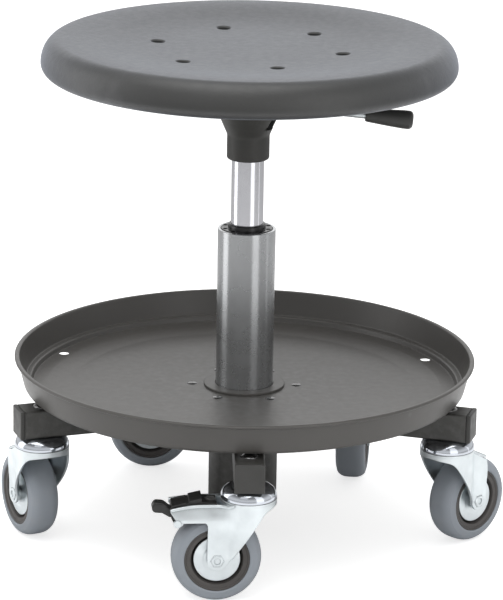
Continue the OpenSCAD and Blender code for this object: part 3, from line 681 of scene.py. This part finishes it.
def make_bracket():
    """Socket and cone under the seat, with the lever's window."""
    outline = rounded([
        (GAS_R + 0.3, BRACKET_Z, 0), (SOCKET_R, BRACKET_Z, 2.5), (SOCKET_R, CONE_Z, 9),
        (BRACKET_R, BRACKET_TOP, 0), (BRACKET_R - 3, BRACKET_TOP, 0), (SOCKET_R - 0.5, CONE_Z + 6, 4),
        (GAS_R + 0.3, CONE_Z + 4, 0),
    ], 8)
    body = turned(outline, 96)
    shell = piece("bracket", [(body, HERE)], BRACKET, "seat_top", ["seat_bracket"])
    depth = 26
    middle = (WINDOW_X + depth / 2, 0, (WINDOW_Z + WINDOW_TOP) / 2)
    cutter = block((depth, 2 * WINDOW_HALF, WINDOW_TOP - WINDOW_Z), middle, 2.5)
    cutter.transform(Matrix.Scale(MM, 4))
    mesh = bpy.data.meshes.new("window")
    cutter.to_mesh(mesh)
    cutter.free()
    tool = bpy.data.objects.new("window", mesh)
    bpy.context.scene.collection.objects.link(tool)
    cut = shell.modifiers.new("window", "BOOLEAN")
    cut.object = tool
    cut.solver = "EXACT"
    shell.modifiers.move(1, 0)
    apply_modifiers(shell)
    bpy.data.objects.remove(tool)
    # Painted shade: near-black walls fill the window's sides, where there is only shade
    cheeks = [(window_shade_wall(side), HERE) for side in (1, -1)]
    piece("window_shade_walls", cheeks, SHADE, "seat_top", [], 30)


def window_shade_wall(side):
    """Painted shade: near-black wall beside the lever, just under the cone's skin, standing for the shade
    inside the window.
    """
    low, high = WINDOW_Z + 0.2, WINDOW_TOP - 0.1
    near, far = SLIT_HALF, WINDOW_HALF - 0.1
    x = WINDOW_X + 0.1
    bm = bmesh.new()
    rings = []
    for i in range(13):
        z = low + (high - low) * i / 12
        r = SOCKET_R + (BRACKET_R - SOCKET_R) * (z - CONE_Z) / (BRACKET_TOP - CONE_Z) - 0.15
        ring = [(x, side * near, z)]
        for j in range(7):
            y = near + (far - near) * j / 6
            ring.append((max(math.sqrt(max(r * r - y * y, 0)), x + 0.1), side * y, z))
        ring.append((x, side * far, z))
        rings.append([bm.verts.new(p) for p in ring])
    for a, b in zip(rings, rings[1:]):
        bridge(bm, a, b)
    bm.faces.new(rings[0])
    bm.faces.new(rings[-1])
    return bm


def apply_modifiers(made):
    """Keeps the shape that the modifiers give."""
    graph = bpy.context.evaluated_depsgraph_get()
    mesh = bpy.data.meshes.new_from_object(made.evaluated_get(graph))
    made.modifiers.clear()
    made.data = mesh


def make_lever():
    """Flat arm with its pivot boss, a round rod and a flared grip."""
    along = lever_place() @ rotate(90, "Y")
    start = LEVER_L - GRIP_L
    arm = [
        (block((23.5, 10, 6), (-6.25, 0, 0), 0.8), lever_place()),
        (rod(5.5, -5, 5, 0.5), lever_place() @ rotate(90, "X")),
        (rod(3, 0, start + 22, 0.5), along),
    ]
    piece("lever_rod", arm, ZINC, "lever", ["lever_arm"])
    outline = rounded([
        (3.1, start + 1, 0), (3.1, start, 0), (4.9, start, 0.5), (5.5, start + 1.6, 1.2),
        (7.3, start + 22, 30), (8.0, start + 33, 6), (8.0, LEVER_L, 4.2), (0, LEVER_L - 0.2, 0),
    ], 7, False)
    piece("grip", [(turned(outline, 64, False), along)], GRIP, "lever", ["lever_grip"])


# Column

def make_column():
    """Ground steel tube with a chamfered mouth."""
    low = foot_of("column_tube")
    bore = BUSH_R + 0.15
    outline = rounded([
        (COLUMN_R, low, 0.3), (COLUMN_R, COLUMN_TOP, 0.7), (bore, COLUMN_TOP, 0.4), (bore, low, 0.3),
    ], 4)
    piece("column", [(turned(outline, 160), HERE)], COLUMN, "base", ["column_tube"])


def make_gas_spring():
    """Chromed cylinder, open in the middle for the valve's pin."""
    low, high = foot_of("gas_cylinder"), top_of("gas_cylinder")
    valve_r = 4.4
    outline = rounded([
        (valve_r, low, 0), (GAS_R - 1.5, low, 0.6), (GAS_R, low + 2.5, 1), (GAS_R, BRACKET_Z + 1, 0),
        (GAS_R - 1.2, high, 0.8), (valve_r, high, 0),
    ], 4)
    gas = turned(outline, 128)
    piece("gas_tube", [(gas, HERE)], GROUND_CHROME, "seat_top", ["gas_cylinder"])


def make_bush():
    """Guide in the column's mouth: bevelled rim, relief holes and a raised ring."""
    face = COLUMN_TOP + 0.6
    deep = face - 30
    ring_r = GAS_R + 2.4
    spots = on_circle(RELIEF_RING, [36 * (i + 0.5) for i in range(10)])
    top = pierced(lambda r: face, ring_r, BUSH_R - 1, [(x, y, RELIEF_R) for x, y in spots], 2, 96)
    rim = [(BUSH_R - 1, face), (BUSH_R - 0.4, face - 0.3), (BUSH_R, face - 1), (BUSH_R, deep)]
    ring = rounded([
        (ring_r, face, 0), (ring_r - 0.2, BUSH_TOP - 1.2, 1), (ring_r - 1.2, BUSH_TOP, 0.4),
        (GAS_R + 0.1, BUSH_TOP, 0.2), (GAS_R + 0.1, deep, 0),
    ], 4, False)
    parts = [(top, HERE), (turned(rim, 96, False), HERE), (turned(ring, 96, False), HERE)]
    for x, y in spots:
        well = turned([(RELIEF_R, face), (RELIEF_R, face - 8), (0, face - 8)], 48, False)
        parts.append((well, shift(x, y, 0)))
    piece("bush", parts, BUSH, "base", ["guide_bush"], 30, True)


def make_collar():
    """Cover ring on the tray around the column's foot."""
    near, far, top = COLUMN_R + 0.3, COLUMN_R + 10.3, TRAY_FLOOR + 2
    outline = rounded([
        (near, TRAY_FLOOR, 0), (far, TRAY_FLOOR, 0), (far, top, 0.8), (near, top, 0.3),
    ], 4)
    piece("collar", [(turned(outline, 96), HERE)], TRAY, "base", ["column_collar"])


# Tray

def tray_wall(start, rise_z, under_z):
    """Outline from the floor's edge over the ledge, the wall and the lip, and back underneath."""
    lip_z = TRAY_TOP - LIP_H / 2
    wall = rounded([
        (start, rise_z, 0), (LEDGE_IN_R - 1.4, rise_z, 1.2), (LEDGE_IN_R, LEDGE_Z, 2),
        (WALL_FOOT_R - TRAY_T + 0.9, LEDGE_Z, 1.2), (WALL_TOP_R - TRAY_T, lip_z, 0),
    ], 8, False)
    lip_r = WALL_TOP_R + (LIP_W - TRAY_T) / 2
    lip = arc(lip_r, lip_z, (LIP_W + TRAY_T) / 2, LIP_H / 2, 180, -90, 20)
    back = rounded([
        (WALL_TOP_R + 0.1, TRAY_TOP - LIP_H, 0), (WALL_TOP_R - 0.1, TRAY_TOP - LIP_H - 0.3, 0),
        (WALL_FOOT_R, under_z, 5.2), (start, under_z, 0),
    ], 8, False)
    return wall + lip + back


def make_tray():
    """Round tray with a floor that rises to a pierced rim, and a wall with a ledge at its foot."""
    steps = 192
    bore = COLUMN_R + 0.3
    rise_z = TRAY_FLOOR + TRAY_RISE
    under_z = FLOOR_UNDER + TRAY_STEP
    low_r, high_r = RING_IN_R + 0.6, LEDGE_IN_R - 2.2
    holes = [(x, y, TRAY_HOLE_R) for x, y in on_circle(TRAY_HOLE_RING, TRAY_HOLE_ANGLES)]
    flat = pierced(lambda r: rise_z, low_r, high_r, holes, 2.5, steps)
    flat_under = pierced(lambda r: under_z, low_r, high_r, holes, 2.5, steps)
    inside = rounded([
        (bore, TRAY_FLOOR, 0), (RING_IN_R - 22, TRAY_FLOOR, 40), (RING_IN_R - 1, rise_z, 20),
        (low_r, rise_z, 0),
    ], 6, False)
    wall = tray_wall(high_r, rise_z, under_z)
    beneath = rounded([
        (low_r, under_z, 0), (RING_IN_R, under_z, 5), (RING_IN_R - RAMP, FLOOR_UNDER, 8),
        (bore, FLOOR_UNDER, 0), (bore, TRAY_FLOOR, 0),
    ], 6, False)
    parts = [(flat, HERE), (flat_under, HERE)]
    parts += [(turned(outline, steps, False), HERE) for outline in (inside, wall, beneath)]
    for x, y, r in holes:
        parts.append((turned([(r, rise_z), (r, under_z)], 48, False), shift(x, y, 0)))
    piece("tray_pan", parts, TRAY, "base", ["tray"], 50, True)


def make_tray_screws():
    """Low round heads, each with a crossed ridge at its own angle, and their shanks."""
    outline = [(0, 0.9), (2.0, 0.88), (3.3, 0.7), (4.1, 0.4), (4.4, 0.1), (4.4, 0)]
    parts = []
    for i in range(6):
        place = rotate(60 * i) @ shift(SCREW_RING, 0, TRAY_FLOOR)
        parts.append((turned(outline, 32, False), place))
        for arm in (0, 90):
            ridge = block((3.0, 0.7, 0.2), (0, 0, 0.85), 0.08, 1)
            parts.append((ridge, place @ rotate(arm + 15 * i)))
        parts.append((rod(2.5, -3.2, 0.1, 0.3, 24), place))
    piece("tray_screw_heads", parts, BOLT, "base", ["tray_screws"])


# Base

def leg_section(inset, radius):
    """Square with rounded corners, in Y and Z."""
    half, low, high = LEG_W / 2 - inset, LEG_Z + inset, LEG_TOP - inset
    corners = [(-half, low), (half, low), (half, high), (-half, high)]
    return rounded([(y, z, radius) for y, z in corners], 5)


def leg_tube(end):
    """Square tube along X; its inner end follows the round hub."""
    bm = bmesh.new()
    rings = []
    for loop in (leg_section(0, 1.8), leg_section(2, 0.8)):
        near = [bm.verts.new((math.sqrt(HUB_R * HUB_R - y * y), y, z)) for y, z in loop]
        far = [bm.verts.new((end, y, z)) for y, z in loop]
        bridge(bm, near, far)
        rings.append((near, far))
    bridge(bm, rings[0][1], rings[1][1])
    bridge(bm, rings[0][0], rings[1][0])
    return bm


def make_legs():
    """Square tubes closed by bevelled end caps."""
    end = LEG_REACH - CAP_T
    middle = LEG_Z + LEG_W / 2
    caps = []
    for k, name in enumerate(LEGS):
        place = leg_place(k)
        tube = [(leg_tube(end), place)]
        piece("leg_" + name + "_tube", tube, FRAME, "base", ["leg_" + name])
        caps.append((block((CAP_T, LEG_W + 0.2, LEG_W), (end + CAP_T / 2, 0, middle), 1.1), place))
        caps.append((block((10, 20.9, 20.9), (end - 4, 0, middle), 0.5, 2), place))
    piece("leg_end_caps", caps, CAP, "base", ["leg_caps"])


def make_bolts():
    """Dark domed caster bolt heads and their shanks."""
    dome = rounded([(0, 3.4, 0), (3.6, 3.3, 2.5), (6.9, 1.3, 2), (7.5, 0.6, 0.4), (7.5, 0, 0)], 5, False)
    heads = []
    for k in range(5):
        heads.append((turned(dome, 48, False), caster_place(k) @ shift(0, 0, LEG_TOP)))
        heads.append((rod(4, LEG_Z - 4.7, LEG_TOP + 0.05, 0.3, 32), caster_place(k)))
    piece("bolt_heads", heads, BOLT, "base", ["caster_bolts"])


def make_domes():
    """Chromed cups over the swivel bearings, with a rolled lower edge."""
    bore, top_r, top_in_r = 6.05, 15.4, 13.4
    outline = [(DOME_R - 0.2, DOME_Z), (DOME_R, DOME_Z + 0.3), (DOME_R, DOME_Z + 1.2)]
    outline += arc(top_r, DOME_Z + 1.2, DOME_R - top_r, 8.3, 0, 90, 16)[1:]
    outline += [(bore, LEG_Z), (bore, LEG_Z - 2), (top_in_r, LEG_Z - 2)]
    outline += arc(top_in_r, DOME_Z, 8.0, 7.5, 90, 0, 12)[1:]
    parts = [(turned(outline, 96), caster_place(k)) for k in range(5)]
    piece("swivel_cups", parts, CHROME, "base", ["swivel_domes"], 50)


# Casters

def boss_touch():
    """Where the cheek's leading edge touches the round boss, in X and Z."""
    run_x, run_z = TRAIL - NOSE_X, WHEEL_R - NOSE_Z
    edge = math.atan2(run_z, run_x) - math.asin(BOSS_R / math.hypot(run_x, run_z))
    return TRAIL + BOSS_R * math.sin(edge), WHEEL_R - BOSS_R * math.cos(edge)


def leading_z(x):
    """Height of the cheek's leading edge."""
    touch_x, touch_z = boss_touch()
    return NOSE_Z + (x - NOSE_X) * (touch_z - NOSE_Z) / (touch_x - NOSE_X)


def soft_min(a, b, width):
    """The lower of two heights, with a smooth change from one to the other."""
    share = max(0, min(1, 0.5 + (b - a) / (2 * width)))
    return b + (a - b) * share - width * share * (1 - share)


def thicken(bm, thickness):
    """Gives an open surface a thickness against its normals."""
    bm.normal_update()
    outer_faces, rim = bm.faces[:], [e for e in bm.edges if e.is_boundary]
    twin = {v: bm.verts.new(v.co - v.normal * thickness) for v in bm.verts[:]}
    for face in outer_faces:
        bm.faces.new([twin[v] for v in reversed(face.verts)])
    for edge in rim:
        a, b = edge.verts
        bm.faces.new((a, b, twin[b], twin[a]))
    return bm


def step(value, low, high):
    """0 below low, 1 above high, smooth between."""
    t = max(0, min(1, (value - low) / (high - low)))
    return t * t * (3 - 2 * t)


def cheek_y(x, z, front):
    """Half width of a fork: round about the swivel in front, flat and drawn in over the axle."""
    flat = CHEEK_LOW + (CHEEK_HIGH - CHEEK_LOW) * step(z, 44, 69 if front else 78)
    if front:
        flat -= HOUSING_PINCH * step(x, 15, 26) * step(z, 74, HOUSING_TOP)
    around = math.sqrt(max(CROWN_R ** 2 - x * x, 0))
    return -soft_min(-flat, -around, 1.2) if x > 0 else around


def cheek_low(x):
    """Lower edge of a cheek: round boss, leading edge, and the band over the nose."""
    if x > boss_touch()[0]:
        return WHEEL_R - math.sqrt(max(BOSS_R ** 2 - (x - TRAIL) ** 2, 0))
    return soft_min(BAND_Z - 0.3 * (x + CROWN_R), leading_z(x), 4)


def saddle_z(x):
    """Top of a plain fork behind its crown."""
    return SADDLE_TOP - SADDLE_FALL * step(x, 8, 44)


def housing_z(x):
    """Top of the brake housing's sides."""
    fall = max(0, x - FALL_X + 6)
    return HOUSING_TOP - 1.0 - 3.2 * (fall / (HOUSING_X - FALL_X + 6)) ** 1.7


def cheek_spots(front):
    """Columns of a cheek from its aft edge to the nose: each an X, or an angle about the swivel."""
    spots = []
    if front:
        tail = HOUSING_X - HEEL_X - HEEL_R
        spots += [(HOUSING_X - tail * i / 12, None) for i in range(12)]
        spots += [(HEEL_X + HEEL_R * math.cos(math.radians(90 * i / 5)), None) for i in range(5)]
    spots += [(TRAIL + BOSS_R * math.cos(math.radians(9 * i)), None) for i in range(16)]
    edge, last = spots[-1][0], 7
    spots += [(edge - (edge - last) * i / 8, None) for i in range(1, 8)]
    begin = math.degrees(math.acos(last / CROWN_R))
    spots += [(None, begin + (180 - begin) * i / 40) for i in range(41)]
    return spots


def cheek_heights(x, front):
    """Heights of the points in a cheek's column, from the bottom up."""
    top = CROWN_TOP
    if x > 12:
        behind = housing_z(x) if front else saddle_z(x) - 2.6
        top += (behind - CROWN_TOP) * step(x, 12, 16)
    drop = HEEL_R
    if x >= HEEL_X:
        reach = max(0, HEEL_X + HEEL_R - x)
        drop -= math.sqrt(max(HEEL_R * HEEL_R - reach * reach, 0))
    split = HOUSING_Z - drop + 1.45 * max(0, x - PIN_X + 0.5)
    below = []
    if x <= HEEL_X + 1e-6:
        low = cheek_low(x)
        split = max(split, low + 1)
        below = [low + (split - low) * i / 12 for i in range(12)]
    return below + [split + (top - split) * i / 8 for i in range(9)]


def cheek(front):
    """One side of a fork from its aft edge round to the nose, as a pressed sheet."""
    bm = bmesh.new()
    columns = []
    for x, angle in cheek_spots(front):
        at = CROWN_R * math.cos(math.radians(angle)) if x is None else x
        column = []
        for z in cheek_heights(at, front):
            if x is None:
                spot = (at, CROWN_R * math.sin(math.radians(angle)), z)
            else:
                drawn_in = 0 if front else 3.4 * step(z, 60, 84) * step(at, 16, HEEL_X)
                spot = (at - drawn_in, cheek_y(at - drawn_in, z, front), z)
            column.append(bm.verts.new(spot))
        columns.append(column)
    for a, b in zip(columns, columns[1:]):
        short = min(len(a), len(b))
        for i in range(1, short):
            bm.faces.new((a[-i], a[-i - 1], b[-i - 1], b[-i]))
    return bm


def shell(front):
    """Both cheeks and the nose of a fork in one sheet."""
    near, far = cheek(front), cheek(front)
    far.transform(MIRROR_Y)
    bmesh.ops.reverse_faces(far, faces=far.faces)
    whole = gather([(near, HERE), (far, HERE)])
    bmesh.ops.remove_doubles(whole, verts=whole.verts, dist=1e-3)
    bmesh.ops.recalc_face_normals(whole, faces=whole.faces)
    whole.normal_update()
    whole.faces.ensure_lookup_table()
    middles = [(face.calc_center_median().y, face.normal.y) for face in whole.faces]
    if any(y * facing < -0.5 for y, facing in middles if abs(y) > 15):
        bmesh.ops.reverse_faces(whole, faces=whole.faces)
    return thicken(whole, FORK_T)


def saddle():
    """Pressed sheet over the wheel of a plain fork, bent down into both cheeks."""
    bend = 2.8
    near, far = 5, 31.3
    bm = bmesh.new()
    rows = []
    for i in range(13):
        x = near + (far - near) * i / 12
        half = max(cheek_y(x, 80, False), CHEEK_HIGH) if x > 15 else CHEEK_HIGH
        z = saddle_z(x)
        corners = [(-half, z - bend, 0), (-half, z, bend), (half, z, bend), (half, z - bend, 0)]
        rows.append([bm.verts.new((x, y, h)) for y, h in rounded(corners, 6, False)])
    for a, b in zip(rows, rows[1:]):
        for i in range(len(a) - 1):
            bm.faces.new((a[i], b[i], b[i + 1], a[i + 1]))
    bm.normal_update()
    bm.faces.ensure_lookup_table()
    if bm.faces[len(bm.faces) // 2].normal.z < 0:
        bmesh.ops.reverse_faces(bm, faces=bm.faces)
    return thicken(bm, FORK_T)


def rolled_rim(front):
    """Round bead along the top edge of a cheek, curling up to the crown."""
    r = 1.45 if front else 0.9
    first = 13.2
    last = HOUSING_X - 0.4 if front else 29.5
    path = []
    for i in range(25):
        x = first + (last - first) * i / 24
        z = housing_z(x) - r + 0.6 if front else saddle_z(x) - 1.9
        out = cheek_y(x, z, front) + (0.55 if front else -0.25)
        path.append((x, out, z + 2.2 * (1 - step(x, 12, 18))))
    return swept(path, [r * (0.6 + 0.4 * step(x, 13, 16)) for x, _, _ in path])


def pin_lug():
    """Ear at the aft end of the brake housing that holds the pedal's pin."""
    ear = rounded([
        (PIN_X - 5.6, HOUSING_Z + 3, 0), (PIN_X - 4.8, PIN_Z - 1.2, 2), (PIN_X - 1.6, PIN_Z - 3.6, 2.4),
        (PIN_X + 2.8, PIN_Z - 3.2, 2.4), (PIN_X + 3.2, PIN_Z + 1.5, 1.5), (PIN_X + 0.6, HOUSING_Z + 3, 0),
    ], 6)
    hole = circle(PIN_X, PIN_Z, 2.1, 24)
    return plate([ear, hole], CHEEK_HIGH - FORK_T, CHEEK_HIGH + 0.04, 0.4)


def make_forks():
    """Pressed forks; the front one runs back into the brake housing."""
    for k, name in enumerate(LEGS):
        front = k == 0
        crown = rod(CROWN_R - 0.02, CROWN_TOP - FORK_T, CROWN_TOP - 0.05, 0.4, 96)
        parts = [(shell(front), HERE), (crown, HERE)] + both_sides(rolled_rim(front))
        parts += both_sides(pin_lug()) if front else [(saddle(), HERE)]
        parts = placed(parts, caster_place(k))
        piece("fork_" + name + "_shell", parts, ZINC, "caster_" + name, ["fork_" + name])


def tyre_outline():
    """Section of a tyre, in radius and height over the wheel's middle."""
    half = [(WHEEL_R - 3.1 * (i / 18) ** 3.4, i / 18 * 11.4, 0) for i in range(19)]
    half += [(WHEEL_R - 4.3, 12.35, 0.8), (CORE_R + 1.2, TYRE_HALF, 1.6), (CORE_R, TYRE_HALF - 0.4, 0.4)]
    half = rounded(half + [(CORE_R, 12, 0)], 4, False)
    return [(r, -z) for r, z in half[:0:-1]] + half


def core_outline():
    """Section of a wheel's core: rim flange, stepped web and hub."""
    half = rounded([
        (CORE_R - 0.02, 0, 0), (CORE_R - 0.02, 12.7, 0.4), (CORE_R - 1.4, 12.7, 0.4),
        (CORE_R - 2.2, 11.7, 0.5), (21.9, 11.7, 0.7), (21.2, 8.6, 0.3), (19.2, 3.5, 1.5), (11, 3.5, 1.5),
        (11, 8.7, 0.5), (AXLE_R + 0.1, 8.7, 0.3),
    ], 5, False)
    return half + [(r, -z) for r, z in reversed(half)]


def disc_outline():
    """Section of a pressed disc that covers the web."""
    bore = AXLE_R + 0.1
    return rounded([
        (bore, 8.95, 0), (9, 8.95, 1), (10.5, 9.0, 1), (19.5, 8.9, 0), (19.5, 10.1, 0.6), (12.5, 10.1, 2),
        (10.8, 9.85, 1.5), (bore, 9.85, 0),
    ], 4)


def make_wheels():
    """Grey tyre on a dark core, with a plated disc on either side."""
    for k, name in enumerate(LEGS):
        place = wheel_place(k)
        body = "wheel_" + name
        tread = [(turned(tyre_outline(), 128), place)]
        piece(name + "_tread", tread, TYRE, body, ["tyre_" + name], 50)
        core = [(turned(core_outline(), 96), place)]
        piece(name + "_core", core, CORE, body, ["wheel_core_" + name])
        discs = [(turned(disc_outline(), 96), place @ side) for side in (HERE, FLIP)]
        piece(name + "_discs", discs, ZINC, body, ["wheel_discs_" + name])


def axle_head(face):
    """Hollow crimped head on a cheek whose outer face is at this height, with its crimp marks."""
    outline = rounded([
        (5.2, face - 1, 0), (5.2, face + 0.3, 0.3), (4.2, face + 1.0, 0.5), (2.9, face + 1.1, 0.5),
        (2.3, face - 0.6, 0.4), (2.0, face - 2.4, 0), (0, face - 2.4, 0),
    ], 4, False)
    marks = [(block((1.6, 1.1, 1.0), (4.9, 0, face + 0.35), 0.25, 1), rotate(60 * i)) for i in range(6)]
    return [(turned(outline, 48, False), HERE)] + marks


def make_axles():
    """Axle bolts through the wheels."""
    inner = CHEEK_LOW - FORK_T
    for k, name in enumerate(LEGS):
        parts = [(rod(AXLE_R, -inner, inner, 0.3, 32), HERE)]
        for side in (HERE, FLIP):
            parts += placed(axle_head(CHEEK_LOW), side)
        parts = placed(parts, wheel_place(k))
        piece(name + "_axle", parts, ZINC, "caster_" + name, ["axle_" + name])


def pedal_boss(top):
    """Ringed boss on the pedal's plate."""
    low, rim, well = top - 6, top + 0.9, top + 0.2
    outline = [(0, low, 0), (4.4, low, 0), (4.4, rim, 0.5), (3.4, rim, 0.3), (3.0, well, 0.3), (0, well, 0)]
    return turned(rounded(outline, 3, False), 40, False)


def make_pedal():
    """Rocker pedal: plate with a tab and side rails, knob on a neck, shoe over the tyre."""
    top = HOUSING_TOP + 0.5
    half = 10.4
    outline = rounded([
        (27, 81, 1), (27, top - 0.8, 0.8), (38.4, top, 0.6), (39.4, top, 0.5), (39.4, top + 3.6, 0.5),
        (50, top + 1.2, 0.5), (50, top - 0.7, 0.6), (HOUSING_X - 1, top - 3.5, 1.2), (HOUSING_X - 1, 74, 2),
        (62, 68.2, 3), (58, 68.2, 3), (38.5, 79, 2), (29.5, 79, 1.5),
    ], 4)
    pin_hole = circle(PIN_X, PIN_Z, 2.05, 24)
    parts = [(plate([outline, pin_hole], -half, half, 0.6), HERE)]
    end = HOUSING_X - 1.6
    rail = rounded([
        (51.5, top - 4, 0.4), (51.5, top - 0.1, 0.6), (end, top - 2.9, 0.6), (end, top - 6, 0.4),
    ], 4)
    parts += [(plate([rail], y, y + 1.6, 0.4), HERE) for y in (-half, half - 1.6)]
    neck = rounded([
        (59.7, top - 6.6, 0), (HOUSING_X, top - 6.4, 4), (70.5, 85.3, 6), (78.2, 86.0, 3.6),
        (80.6, 81.8, 3.6), (79.4, 76.9, 3.4), (72.0, 76.4, 3), (HOUSING_X, 72.6, 4), (59.7, 72.6, 0),
    ], 7)
    parts.append((plate([neck], -5.2, 5.2, 1.5), HERE))
    place = caster_place(0)
    piece("pedal", placed(parts, place), BLACK, "brake", ["brake_pedal"])
    boss = [(pedal_boss(top), place @ shift(32, 0, 0))]
    piece("pedal_boss", boss, GRIP, "brake", [])


make_seat()
make_bracket()
make_lever()
make_column()
make_gas_spring()
make_bush()
make_collar()
make_tray()
make_tray_screws()
make_legs()
make_bolts()
make_domes()
make_forks()
make_wheels()
make_axles()
make_pedal()


# Studio

class Stage(Tree):
    """Nodes of the floor or the world, and how bright it is to each kind of ray."""

    def __init__(self, tree):
        super().__init__(tree)
        self.nodes.clear()
        self.rays = self.node("ShaderNodeLightPath").outputs

    def fade(self, value, low, high, at_low, at_high):
        made = self.node("ShaderNodeMapRange", value, low, high, at_low, at_high)
        made.interpolation_type = "SMOOTHSTEP"
        return made.outputs["Result"]

    def seen(self, ray, strength):
        return self.math("MULTIPLY", self.rays[ray], strength)


def make_floor():
    """Pale floor that keeps a soft shadow and shows as white, with a painted pool of light: lighter near
    the stool, and a ring that glows only in reflections.
    """
    bpy.ops.mesh.primitive_plane_add(size=30, location=(0, 0, -0.0002))
    floor = bpy.context.object
    floor.name = "floor"
    material = bpy.data.materials.new("floor")
    material.use_nodes = True
    stage = Stage(material.node_tree)
    place = stage.node("ShaderNodeNewGeometry").outputs["Position"]
    reach = stage.node("ShaderNodeVectorMath", place)
    reach.operation = "LENGTH"
    reach = reach.outputs["Value"]
    # Painted pool of light: the floor's own tone is 0.78 within 0.7 m of the middle and falls to 0.42
    # beyond 1 m, while its glow to the camera rises from 0.70 to 0.90
    painted_pool_to, plain_from = 0.7, 1.0
    painted_pool_tone = stage.fade(reach, painted_pool_to, plain_from, 0.78, 0.42)
    tone = stage.node("ShaderNodeCombineColor", painted_pool_tone, painted_pool_tone, painted_pool_tone)
    matt = stage.node("ShaderNodeBsdfDiffuse", tone.outputs[0])
    direct = stage.seen("Is Camera Ray", stage.fade(reach, painted_pool_to, plain_from, 0.70, 0.90))
    # Painted light: a ring from 0.2 to 0.72 m out glows, though no lamp is there, only to glossy rays, so
    # metal parts reflect a bright floor
    inner, outer = stage.fade(reach, 0.20, 0.34, 0, 1), stage.fade(reach, 0.45, 0.72, 0.45, 0.02)
    mirrored = stage.seen("Is Glossy Ray", stage.math("MULTIPLY", inner, outer))
    glow = stage.node("ShaderNodeEmission", Strength=stage.math("ADD", direct, mirrored))
    both = stage.node("ShaderNodeAddShader", matt.outputs[0], glow.outputs[0])
    stage.node("ShaderNodeOutputMaterial", both.outputs[0])
    floor.data.materials.append(material)


def make_world():
    """White to the camera, soft light from above, and a dimmer ceiling in reflections."""
    world = bpy.data.worlds.new("studio")
    bpy.context.scene.world = world
    world.use_nodes = True
    stage = Stage(world.node_tree)
    where = stage.node("ShaderNodeTexCoord").outputs["Generated"]
    height = stage.node("ShaderNodeSeparateXYZ", where).outputs["Z"]
    camera, glossy = stage.rays["Is Camera Ray"], stage.rays["Is Glossy Ray"]
    mirrored = stage.math("MULTIPLY", glossy, stage.fade(height, 0.25, 0.75, 0.80, 0.28))
    other = stage.math("SUBTRACT", 1, stage.math("MAXIMUM", camera, glossy))
    soft = stage.math("MULTIPLY", other, stage.fade(height, 0, 1, 0.40, 1.0))
    strength = stage.math("ADD", stage.math("ADD", camera, mirrored), soft)
    light = stage.node("ShaderNodeBackground", (1, 1, 1, 1), strength)
    stage.node("ShaderNodeOutputWorld", light.outputs[0])


def make_lamp(name, place, aim, size, power, strip=False):
    """A soft box; a strip only shows as a streak in gloss."""
    lamp = bpy.data.lights.new(name, "AREA")
    lamp.shape = "RECTANGLE"
    lamp.size, lamp.size_y = size
    lamp.energy = power
    made = bpy.data.objects.new(name, lamp)
    made.location = place
    made.rotation_euler = (Vector(aim) - Vector(place)).to_track_quat("-Z", "Y").to_euler()
    made.visible_camera = False
    made.visible_diffuse = not strip
    bpy.context.scene.collection.objects.link(made)


CAMERA_AT = (0.00515, -2.85044, 1.05214)
CAMERA_PITCH = 16.590
CAMERA_ROLL = 1.027
LENS = 205.82


def make_camera():
    """Camera fitted to the photograph."""
    data = bpy.data.cameras.new("camera")
    data.lens = LENS
    data.sensor_width = 36
    data.clip_end = 100
    pitch, roll = math.radians(CAMERA_PITCH), math.radians(CAMERA_ROLL)
    ahead = Vector((0, math.cos(pitch), -math.sin(pitch)))
    up = Vector((0, math.sin(pitch), math.cos(pitch)))
    right = Vector((1, 0, 0))
    x = right * math.cos(roll) + up * math.sin(roll)
    y = up * math.cos(roll) - right * math.sin(roll)
    turn = Matrix((x, y, -ahead)).transposed().to_4x4()
    made = bpy.data.objects.new("camera", data)
    made.matrix_world = Matrix.Translation(CAMERA_AT) @ turn
    bpy.context.scene.collection.objects.link(made)
    bpy.context.scene.camera = made


make_floor()
make_world()
make_lamp("overhead", (-0.2, -0.3, 2.2), (0, 0, 0.3), (1.8, 1.8), 22)
make_lamp("front_fill", (-0.6, -1.7, 1.9), (0, 0, 0.2), (1.2, 1.2), 2.5)
make_lamp("back_sheen", (0, 2.2, 1.3), (0, 0, 0.35), (2.4, 1.0), 6.5)
make_lamp("right_strip", (0.39, -0.52, 0.45), (0, 0, 0.45), (0.30, 0.9), 0.78, True)
make_lamp("left_strip", (-0.65, -0.01, 0.45), (0, 0, 0.45), (0.30, 0.9), 1.15, True)
make_lamp("thin_strip", (0.65, 0, 0.45), (0, 0, 0.45), (0.05, 0.9), 0.10, True)
make_camera()
bpy.context.scene.view_settings.view_transform = "Standard"

bpy.context.view_layer.update()
